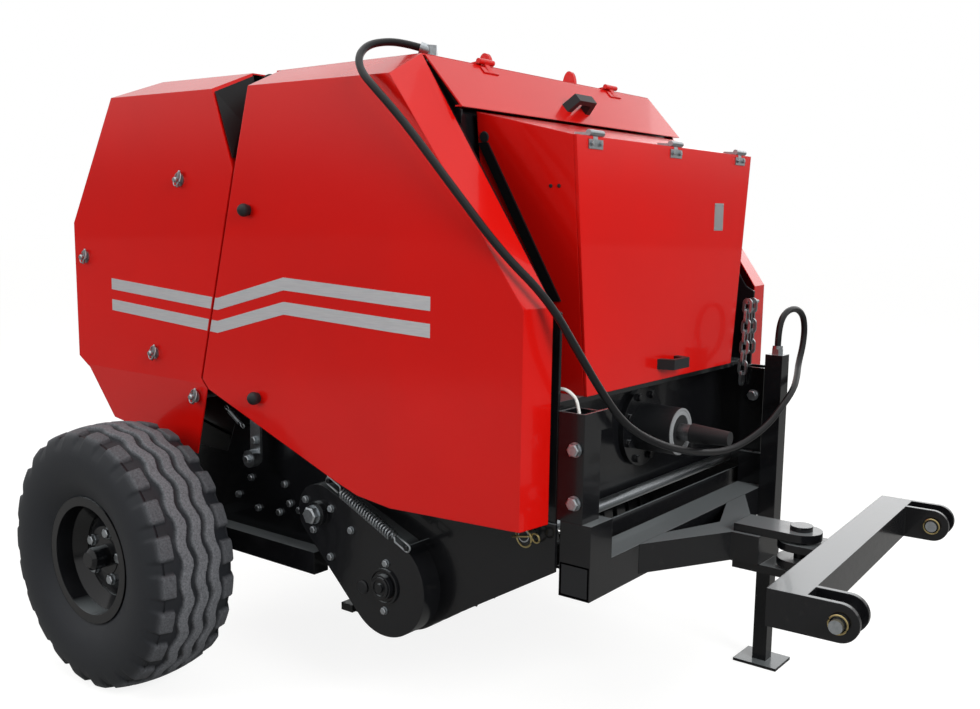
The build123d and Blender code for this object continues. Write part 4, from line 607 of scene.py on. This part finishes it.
ARM_X, ARM_FACE, ARM_BOLT_Z, ARM_BOLT_SIZE = 268, -566.0, 664, 18.0
ROLLER_FACE, ROLLER_Z = -590.0, 615
bolts("tension_arm_bolts", [(ARM_X, ARM_FACE, ARM_BOLT_Z), (ARM_X, ROLLER_FACE, ROLLER_Z)], RIGHT,
      ARM_BOLT_SIZE, "frame")

LID_FACE, LEAF_FACE, LID_HINGES, LEAF_MIDDLE = 1214.3, 1217.3, (-384, 0, 384), 1445.0
LEAF_BOLT_STEP, LEAF_BOLT_SIZE = 18, 10.0
places = [(LEAF_FACE, y + a * LEAF_BOLT_STEP, LEAF_MIDDLE) for y in LID_HINGES for a in (-1, 1)]
bolts("lid_hinge_bolts", places, FRONT, LEAF_BOLT_SIZE, "box_lid")

# %% [markdown]
# The pickup guard has a stepped bearing cap over the reel shaft and a push-in plug, and the drive shaft's
# guard ends in a grey ring with a groove. Discs could be stacked, but as turned pieces only half of each
# section is drawn.

# %% Caps and rings
BEARING_RING = ((0, 46), (6, 46), (6, 40), (2, 39), (2, 33))
BEARING_CAP = ((0, 27), (3, 27), (4, 25), (4, 20), (1, 19), (1, 12), (7, 11), (8, 0))
GUARD_PLUG, GUARD_PLUG_PLACE = ((0, 17), (3, 17), (5, 14), (5, 0)), (697, GUARD_FACE, 353)
GUARD_RING = ((0, 61), (2, 61), (2, 56), (0.6, 55), (0.6, 50), (2, 49), (2, 44), (0, 43))
GUARD_RING_PLACE = (1259, 0, INPUT_Z)
ring = turned(BEARING_RING, [(REEL_AXIS[0], GUARD_FACE, REEL_AXIS[1])], RIGHT, 40)
surface("reel_bearing_ring", ring, black_enamel, "frame", smooth=False)
cap = turned(BEARING_CAP, [(REEL_AXIS[0], BOSS_FACE, REEL_AXIS[1])], RIGHT, 40)
surface("reel_bearing_cap", cap, black_enamel, "frame", smooth=False)
plug = turned(GUARD_PLUG, [GUARD_PLUG_PLACE], RIGHT, 32)
surface("guard_plug", plug, black_nylon, "frame", smooth=False)
ring = turned(GUARD_RING, [GUARD_RING_PLACE], FRONT, 48)
surface("shaft_guard_ring", ring, grey_nylon, "frame", smooth=False)

# %% [markdown]
# The covers come off without tools. Black ball knobs screw on to the front studs, and a linch pin with a
# wire ring goes through each stud of the tailgate. Knobs, studs and pins are turned, and each ring is a
# swept circle.

# %% Knobs and linch pins
KNOB_PLACES = ((344, 1285), (373, 803))
GATE_PIN_PLACES = ((69, 1363), (-391, 1139), (-62, 881), (118, 777))
GATE_WALL_Y, COVER_Y, STUD = 508.0, 645.0, 8.0
BALL, BALL_MIDDLE, BALL_NECK, BALL_FROM = 17.0, 13, 14, -40
stand_off = COVER_Y - WALL_Y
swing = np.radians(np.linspace(BALL_FROM, 90, 12))
ball = np.column_stack([stand_off + BALL_MIDDLE + BALL * np.sin(swing), BALL * np.cos(swing)])
profile = np.vstack([[(0, 0), (0, STUD), (stand_off, STUD), (stand_off, BALL_NECK)], ball])
sides = [(side, x, z) for side in (1, -1) for x, z in KNOB_PLACES]
knob_grids = turned(profile, [(x, side * WALL_Y, z) for side, x, z in sides],
                    [(0, side, 0) for side, x, z in sides], 28)
knobs = surface("ball_knobs", knob_grids, black_nylon, "frame")
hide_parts("cover_knobs")


def ring_path(centre, normal, radius, steps=36):
    """Circle of points about a centre, square to a normal."""
    first, second = side_axes(np.asarray(normal, dtype=float))
    angle = np.arange(steps) * 2 * math.pi / steps
    circle = np.outer(np.cos(angle), first) + np.outer(np.sin(angle), second)
    return np.asarray(centre, float) + radius * circle


WASHER, WASHER_SHEET, STUD_REACH, STUD_END, STUD_TIP = 17, 3, 18, 22, 5.5
stand_off = COVER_Y - GATE_WALL_Y
profile = [(0, 0), (0, STUD), (stand_off, STUD), (stand_off, WASHER), (stand_off + WASHER_SHEET, WASHER),
           (stand_off + WASHER_SHEET, STUD), (stand_off + STUD_REACH, STUD),
           (stand_off + STUD_END, STUD_TIP), (stand_off + STUD_END, 0)]
sides = [(side, x, z) for side in (1, -1) for x, z in GATE_PIN_PLACES]
stud_grids = turned(profile, [(x, side * GATE_WALL_Y, z) for side, x, z in sides],
                    [(0, side, 0) for side, x, z in sides], 24)
studs = surface("gate_studs", stud_grids, zinc_plate, "tailgate", smooth=False)
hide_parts("gate_pins")

PIN_PROFILE, PIN_LEAN = ((0, 0), (0, 3), (4, 4), (42, 4), (46, 3), (46, 0)), (0.25, 0, 1)
PIN_PROUD, PIN_DROP = 10, 20
RING_PROUD, RING_AHEAD, RING_RISE, RING_RADIUS, RING_WIRE = 12, 3, 2, 19, 1.8
RING_LEAN, RING_TILT = 0.2, 0.3
places = [(x, side * (COVER_Y + PIN_PROUD), z - PIN_DROP) for side, x, z in sides]
pins = turned(PIN_PROFILE, places, PIN_LEAN, 12)
surface("linch_pins", pins, zinc_plate, "tailgate")
rings = []
for side, x, z in sides:
    centre = (x + RING_AHEAD, side * (COVER_Y + RING_PROUD), z + RING_RISE)
    path = ring_path(centre, (RING_LEAN, 1, RING_TILT * side), RING_RADIUS)
    rings.append(swept(path, RING_WIRE, 8, closed=True))
surface("linch_rings", rings, zinc_plate, "tailgate", wrap_rows=True)

# %% [markdown]
# The crop rod is held by a spring-wire clip, a ring with a smaller loop beside it, and the two lower-link
# pins by plain rings. Wire could be a bevelled curve, but a swept circle is a closed mesh at once.

# %% Wire clips
def rod(length, radius):
    """Profile of a plain round rod from the middle of one end to the middle of the other."""
    return ((0, 0), (0, radius), (length, radius), (length, 0))


yellow_zinc = new_finish("yellow_passivated_zinc", {
    "Base Color": colour("B9A877"), "Metallic": 1.0, "Roughness": 0.35})[0]
ROD_END, ROD_PLUG = np.array((1160, -552, 570)), ((0, 12), (1, 12), (1, 0))
CLIP_WIRE, CLIP_PIN, CLIP_PIN_SHIFT, CLIP_PIN_WAY = 2.4, 56, (-28, -4, -6), (1, 0, 0.2)
CLIP_LOOPS = (((2, -2, -2), (0.15, 1, 0.1), 23), ((34, -2, 2), (0.1, 1, 0.2), 11))
clip = [swept(ring_path(ROD_END + shift, normal, radius), CLIP_WIRE, 8, closed=True)
        for shift, normal, radius in CLIP_LOOPS]
surface("crop_rod_clip", clip, yellow_zinc, "frame", wrap_rows=True)
plug = turned(ROD_PLUG, [ROD_END], RIGHT, 28)
surface("crop_rod_plug", plug, black_nylon, "frame", smooth=False)
pin = turned(rod(CLIP_PIN, CLIP_WIRE), [ROD_END + CLIP_PIN_SHIFT], CLIP_PIN_WAY, 10)
surface("crop_rod_pin", pin, yellow_zinc, "frame")

EYES = (((1793.1, 423.1, 503), (-0.0523, 0.9986, 0)), ((1836.3, -399.8, 503), (0.0523, -0.9986, 0)))
PIN_CLIP_REACH, PIN_CLIP_RADIUS, PIN_CLIP_WIRE = 48.0, 19.0, 2.2
rings = []
for eye, out in EYES:
    for reach in (PIN_CLIP_REACH, -PIN_CLIP_REACH):
        centre = np.array(eye) + reach * np.array(out)
        rings.append(swept(ring_path(centre, out, PIN_CLIP_RADIUS), PIN_CLIP_WIRE, 8, closed=True))
surface("link_pin_clips", rings, yellow_zinc, "drawbar", wrap_rows=True)

# %% [markdown]
# The lid carries one small bare metal plate on four rivets. The box wall has a plug and two small plugs, and
# a black strip beside the cover's slanting edge is painted shade: it stands for the shadowed gap between
# cover and box. Plates and strips could be scaled cubes, but as slabs between four corners they lie exactly
# on a sloping wall.

# %% Plate, plugs and painted gap shade
def slab(corners, thickness):
    """Four corners in order, and the same four moved along their common normal by the thickness."""
    corners = np.asarray(corners, dtype=float)
    normal = unit(np.cross(corners[1] - corners[0], corners[3] - corners[0]))
    return capped([corners, corners + thickness * normal])


PLATE_MIDDLE, PLATE_HALF, RIVET_HALF, PLATE_SHEET = (266.0, 1288.0), (27.0, 37.0), (22, 32), 1.0


def plate_points(x, half_wide, half_tall):
    """Four corners about the plate's middle, at a distance forward."""
    return [(x, PLATE_MIDDLE[0] + a * half_wide, PLATE_MIDDLE[1] + b * half_tall)
            for a, b in ((-1, -1), (1, -1), (1, 1), (-1, 1))]


RIVET = ((0, 3.4), (1.0, 3.0), (1.6, 1.8), (1.8, 0))
bare_metal = new_finish("bare_aluminium_plate", {
    "Base Color": colour("B9BBBD"), "Metallic": 0.9, "Roughness": 0.4})[0]
plate = slab(plate_points(LID_FACE, *PLATE_HALF), PLATE_SHEET)
surface("blank_plate", plate, bare_metal, "box_lid", smooth=False)
rivets = turned(RIVET, plate_points(LID_FACE + PLATE_SHEET, *RIVET_HALF), FRONT, 16)
surface("plate_rivets", rivets, zinc_plate, "box_lid")

BOX_FOOT_HALF, BOX_FLARE, BOX_FOOT = 388.0, 74 / 589, 872.0
BOX_NORMAL = (0.0, -1.0, -BOX_FLARE)


def on_box_wall(x, z):
    """Point of the box's right wall, whose half width grows evenly with its height."""
    return (x, -BOX_FOOT_HALF - BOX_FLARE * (z - BOX_FOOT), z)


BIG_PLUG, BIG_PLUG_PLACE = ((-1, 13), (1.5, 13), (2.5, 11), (2.5, 0)), (962, 1462)
SMALL_PLUG, SMALL_PLUG_PLACES = ((-1, 4.5), (1, 4.5), (1.6, 3), (1.6, 0)), ((1141, 1350), (1163, 1350))
big_plug = turned(BIG_PLUG, [on_box_wall(*BIG_PLUG_PLACE)], BOX_NORMAL, 28)
surface("box_plug", big_plug, black_nylon, "frame", smooth=False)
small_plugs = turned(SMALL_PLUG, [on_box_wall(x, z) for x, z in SMALL_PLUG_PLACES], BOX_NORMAL, 16)
surface("box_small_plugs", small_plugs, black_nylon, "frame", smooth=False)
# Painted shade: a black strip on the box wall along the cover's slanting edge stands for the shadowed gap
# between cover and box.
GAP_SHADE_TOP, GAP_SHADE_FOOT, GAP_SHADE_WIDTH, GAP_SHADE_SHEET = (945, 1450), (1128, 1090), 28.0, 5.0
loop = [on_box_wall(*GAP_SHADE_FOOT), on_box_wall(GAP_SHADE_FOOT[0] + GAP_SHADE_WIDTH, GAP_SHADE_FOOT[1]),
        on_box_wall(GAP_SHADE_TOP[0] + GAP_SHADE_WIDTH, GAP_SHADE_TOP[1]), on_box_wall(*GAP_SHADE_TOP)]
surface("box_gap_shade_strip", slab(loop, GAP_SHADE_SHEET), hose_rubber, "frame", smooth=False)

# %% [markdown]
# Chaff must not blow out of the machine, so rubber and sheet close its gaps: a flap over the joint between
# chamber wall and tailgate, a lining and cheeks under the hood and a plate across the pickup's nose. A black
# strip down the tailgate's front edge is painted shade, which stands for the deep dark gap there. The ends
# of the crossbeam are plugged. All of them are slabs, mirrored where both sides have one, and the two lugs
# on the roof are rounded slabs.

# %% Flaps, linings, end plugs and lugs
def wall_slabs(name, outline, y, sheet, finish):
    """One upright slab on each side: an outline in x and z, moved out by y and thickened outwards."""
    for side, hand in SIDES:
        loop = [(x, side * y, z) for x, z in outline]
        surface(f"{name}_{hand}", slab(loop[::-side], sheet), finish, "frame", smooth=False)


FLAP, FLAP_Y, FLAP_SHEET = ((-116, 597), (100, 597), (100, 645), (-116, 690)), 512.0, 4.0
wall_slabs("wall_flap", FLAP, FLAP_Y, FLAP_SHEET, hose_rubber)

# Painted shade: a black strip laid over the tailgate's lit return facet stands for the deep dark gap there.
EDGE_TOP, EDGE_FOOT = (211, 642, 1588), (276, 642, 1418)
RIM_TOP, RIM_FOOT = (239, 538, 1637), (276, 538, 1418)
STRIP_PROUD, STRIP_SHEET = 7.0, 1.5
for side, hand in SIDES:
    loop = [(x + STRIP_PROUD, side * y, z) for x, y, z in (EDGE_FOOT, EDGE_TOP, RIM_TOP, RIM_FOOT)]
    strip = slab(loop[::side], STRIP_SHEET)
    surface(f"gate_edge_shade_strip_{hand}", strip, hose_rubber, "tailgate", smooth=False)

LINING, LINING_HALF, LINING_SHEET = ((836, 1620), (924, 1514), (924, 1432)), 509.0, 3.0
for name, upper, lower in zip(("hood_lining", "hood_lining_apron"), LINING, LINING[1:]):
    turns = ((-1, upper), (-1, lower), (1, lower), (1, upper))
    loop = [(x, side * LINING_HALF, z) for side, (x, z) in turns]
    surface(name, slab(loop, LINING_SHEET), black_enamel, "frame", smooth=False)

CHEEK, CHEEK_Y, CHEEK_SHEET = ((845, 1490), (936, 1490), (936, 1522), (845, 1620)), 512.0, 4.0
wall_slabs("hood_cheek", CHEEK, CHEEK_Y, CHEEK_SHEET, black_enamel)

NOSE_X, NOSE_FOOT, NOSE_TOP, NOSE_HALF, NOSE_SHEET = 1196.0, 490.0, 546.0, 517.0, 6.0
loop = [(NOSE_X, -NOSE_HALF, NOSE_FOOT), (NOSE_X, NOSE_HALF, NOSE_FOOT), (NOSE_X, NOSE_HALF, NOSE_TOP),
        (NOSE_X, -NOSE_HALF, NOSE_TOP)]
surface("pickup_nose_plate", slab(loop, NOSE_SHEET), black_enamel, "frame", smooth=False)

BEAM_END, PLUG_DEPTH, PLUG_LIP = 517.0, 4, 1.0
BEAM_SECTION = ((1237, 442), (1313, 442), (1313, 518), (1237, 518))
wall_slabs("beam_plug", BEAM_SECTION, BEAM_END - PLUG_DEPTH, PLUG_DEPTH + PLUG_LIP, black_nylon)

LUG_X, LUG_Y, LUG_FOOT, LUG_TOP, LUG_HALF = 760.0, 200.0, 1648.0, 1699.0, 21.0
LUG_HALF_SHEET, LUG_ROUNDNESS, LUG_STEPS = 6.5, 0.8, 25
arch = np.radians(np.linspace(0, 180, LUG_STEPS))
lug_x = LUG_X + LUG_HALF * np.cos(arch)
lug_z = LUG_FOOT + (LUG_TOP - LUG_FOOT) * np.sin(arch) ** LUG_ROUNDNESS
lugs = []
for y in (-LUG_Y, LUG_Y):
    faces = [np.column_stack([lug_x, np.full(LUG_STEPS, y + step), lug_z])
             for step in (-LUG_HALF_SHEET, LUG_HALF_SHEET)]
    lugs.append(capped(faces))
surface("lifting_lugs", lugs, red_enamel, "frame", smooth=False)

# %% [markdown]
# The two pull handles are moulded bails: a flat nylon strap bent twice, taller than it is thick. A strap
# could be bent with a modifier, but its four edges are known at each bend, so the handle is one tube with
# a four-sided section.

# %% Pull handles
HANDLE_OUTER = ((0, -55), (42, -41), (42, 41), (0, 55))
HANDLE_INNER = ((0, -34), (28, -27), (28, 27), (0, 34))
HANDLE_HALF_HEIGHT = 13.0


def pull_handle(name, foot, out, up, body, node):
    """Bail of outer and inner edge lines, each moved up and down by half the height, from a foot point."""
    foot, out, up = (np.asarray(vector, dtype=float) for vector in (foot, out, up))
    edges = []
    for outline, lift in ((HANDLE_OUTER, -1), (HANDLE_OUTER, 1), (HANDLE_INNER, 1), (HANDLE_INNER, -1)):
        reach, along = np.array(outline, float).T
        line = foot + np.outer(reach, out) + np.outer(along, (0, 1, 0))
        edges.append(line + lift * HANDLE_HALF_HEIGHT * up)
    grid = capped(np.stack(edges, axis=1))
    handle = surface(name, grid, black_nylon, body, smooth=False)
    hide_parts(node)


LID_GRIP, HOOD_GRIP = (LID_FACE, 0, 914), (913.8, 0, 1565.4)
HOOD_OUT, HOOD_UP = (0.7365, 0, 0.6766), (-0.6766, 0, 0.7365)
pull_handle("lid_pull", LID_GRIP, FRONT, (0, 0, 1), "box_lid", "lid_handle")
pull_handle("hood_pull", HOOD_GRIP, HOOD_OUT, HOOD_UP, "hood", "hood_handle")

# %% [markdown]
# One white plastic tube leads twine out of the box, over the right post and into its open top. A few listed
# points would give a tube with kinks, so each point takes a weighted mean of its neighbours, by a bell
# curve.

# %% Twine tube
TUBE_ROUTE = ((1172, -462, 868), (1182, -478, 890), (1204, -492, 904), (1228, -492, 902), (1246, -482, 884),
              (1254, -478, 840))
TUBE_RADIUS, TUBE_STEPS, TUBE_EASE = 4.0, 40, 0.05
share = np.linspace(0, 1, TUBE_STEPS)
knots = np.linspace(0, 1, len(TUBE_ROUTE))
bend = np.column_stack([np.interp(share, knots, column) for column in np.array(TUBE_ROUTE, float).T])
smoother = np.exp(-0.5 * ((share[:, None] - share[None, :]) / TUBE_EASE) ** 2)
bend[1:-1] = (smoother @ bend / smoother.sum(axis=1, keepdims=True))[1:-1]
surface("twine_tube", swept(bend, TUBE_RADIUS, 12), white_tube, "frame")

# %% [markdown]
# Two silver stripes run along both sides, over the tailgate and the front cover. They are cut foil, a
# fraction of a millimetre thick, so each stripe is a thin closed strip laid on the panel, split where the
# tailgate opens. A pattern in the paint would be simpler, but its edges would blur when seen close.

# %% Silver stripes
STRIPE_X, STRIPE_Z, STRIPE_ENDS = (-261, 217, 476, 955), (1082, 1053, 1120, 1100), (-263, 954)
STRIPE_HEIGHT, STRIPE_GAP, STRIPE_STEPS, FOIL, FOIL_SUNK, BRUSH_MM = 32.0, 29.0, 121, 0.6, 0.2, 2.0
PANEL_Y, FOLD_X, FOLD_SLOPE = 645.0, 838.0, 15 / 363
SPLIT_FOOT, SPLIT_HEAD, SPLIT_CLEAR, SPLIT_NEAR_X = (145.0, 830.0), (290.0, 1389.0), 6.0, 212.0

foil, tree, shader = new_finish("brushed_silver_foil", {"Metallic": 0.6, "Roughness": 0.34})
mottled(tree, shader, BRUSH_MM, 3.0, ("DADADC", "BCBCC0"), stretch=(0.04, 1.0, 1.0))


def split_x(z, clear):
    """Place along the machine of the joint before the tailgate: a leaning line, moved by a clearance."""
    lean = (SPLIT_HEAD[0] - SPLIT_FOOT[0]) / (SPLIT_HEAD[1] - SPLIT_FOOT[1])
    return SPLIT_FOOT[0] + lean * (z - SPLIT_FOOT[1]) + clear


def stripe(name, drop, side, body):
    """Strip between two edges that follow the stripe's bent line, pushed out by the foil's thickness."""
    share = np.linspace(0, 1, STRIPE_STEPS)
    edges = []
    for below in (drop, drop + STRIPE_HEIGHT):
        split_z = float(np.interp(SPLIT_NEAR_X, STRIPE_X, STRIPE_Z)) - below
        if body == "tailgate":
            start, stop = STRIPE_ENDS[0], split_x(split_z, -SPLIT_CLEAR)
        else:
            start, stop = split_x(split_z, SPLIT_CLEAR), STRIPE_ENDS[1]
        x = start + share * (stop - start)
        z = np.interp(x, STRIPE_X, STRIPE_Z) - below
        panel = PANEL_Y - np.clip(x - FOLD_X, 0, None) * FOLD_SLOPE
        edges.append([np.stack([x, side * (panel + proud), z], axis=-1) for proud in (-FOIL_SUNK, FOIL)])
    upper, lower = edges
    loops = np.stack([upper[0], upper[1], lower[1], lower[0]], axis=1)
    surface(name, capped(loops), foil, body, smooth=False)


for side, hand in SIDES:
    for row, drop in (("upper", 0.0), ("lower", STRIPE_HEIGHT + STRIPE_GAP)):
        stripe(f"gate_stripe_{row}_{hand}", drop, side, "tailgate")
        stripe(f"cover_stripe_{row}_{hand}", drop, side, "frame")

# %% [markdown]
# The pickup's float spring and the small chain tension spring are coiled wire with an open hook at each
# end. A screw modifier could wind them, but a helix is a circle carried along a line, so its centre path
# has a formula, and a round section follows it.

# %% Coil springs
TURN_STEPS, LEAD_TURNS, HOOK_SHARE, HOOK_STEPS = 14, 1.2, 0.75, 13


def spring_path(top, foot, radius, wire, end, pitch):
    """U-shaped hook, close coil and U-shaped hook on one line, as the path of the wire's middle."""
    top, foot = np.asarray(top, float), np.asarray(foot, float)
    length = float(np.linalg.norm(foot - top))
    line = unit(foot - top)
    first, second = side_axes(line)
    turns = int((length - 2 * end) / pitch)
    share = np.linspace(0, 1, turns * TURN_STEPS)
    reach = radius * smooth_step(np.minimum(share, 1 - share) * turns / LEAD_TURNS)[:, None]
    turning = share * turns * 2 * math.pi
    centre = top + np.outer(end + share * (length - 2 * end), line)
    coil = centre + reach * (np.outer(np.cos(turning), first) + np.outer(np.sin(turning), second))
    bend = np.linspace(-0.5, 0.5, HOOK_STEPS) * math.pi
    half = HOOK_SHARE * radius
    along = np.concatenate([[end - 2 * wire], -half * np.cos(bend), [end - 2 * wire]])
    across = np.concatenate([[-half], half * np.sin(bend), [half]])
    top_hook = top + np.outer(along, line) + np.outer(across, second)
    foot_hook = foot - np.outer(along, line) + np.outer(across, second)
    return np.concatenate([top_hook, coil, foot_hook])


SPRING_TOP, SPRING_FOOT = (596, -606, 612), (859, -606, 492)
SPRING_RADIUS, SPRING_WIRE, SPRING_END, SPRING_PITCH = 12.5, 2.7, 44.0, 8.4
path = spring_path(SPRING_TOP, SPRING_FOOT, SPRING_RADIUS, SPRING_WIRE, SPRING_END, SPRING_PITCH)
spring = surface("pickup_spring", swept(path, SPRING_WIRE, 8), zinc_plate, "frame")
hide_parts("float_spring")

STUD_RADIUS, TOP_STUD, FOOT_STUD = 6, 94, 86
stud = turned(rod(TOP_STUD, STUD_RADIUS), [(SPRING_TOP[0], -WALL_Y, SPRING_TOP[2])], RIGHT, 20)
surface("spring_top_stud", stud, black_enamel, "frame", smooth=False)
stud = turned(rod(FOOT_STUD, STUD_RADIUS), [(SPRING_FOOT[0], -PICKUP_WALL_Y, SPRING_FOOT[2])], RIGHT, 20)
surface("spring_foot_stud", stud, black_enamel, "frame", smooth=False)

TENSION_ENDS, TENSION_Y, POST_LENGTH, POST_RADIUS = ((166, 745), (236, 700)), -580, 64, 4
TENSION_RADIUS, TENSION_WIRE, TENSION_END, TENSION_PITCH = 6.5, 1.6, 12.0, 4.2
top, foot = [(x, TENSION_Y, z) for x, z in TENSION_ENDS]
path = spring_path(top, foot, TENSION_RADIUS, TENSION_WIRE, TENSION_END, TENSION_PITCH)
surface("tension_spring", swept(path, TENSION_WIRE, 8), zinc_plate, "frame")
posts = turned(rod(POST_LENGTH, POST_RADIUS), [(x, -WALL_Y, z) for x, z in TENSION_ENDS], RIGHT, 16)
surface("tension_spring_posts", posts, black_enamel, "frame", smooth=False)

LINK_ROD, LINK_ROD_RADIUS = ((496, -517, 645), (540, -560, 632), (592, -604, 616)), 3.0
surface("spring_link_rod", swept(LINK_ROD, LINK_ROD_RADIUS, 10), zinc_plate, "frame")
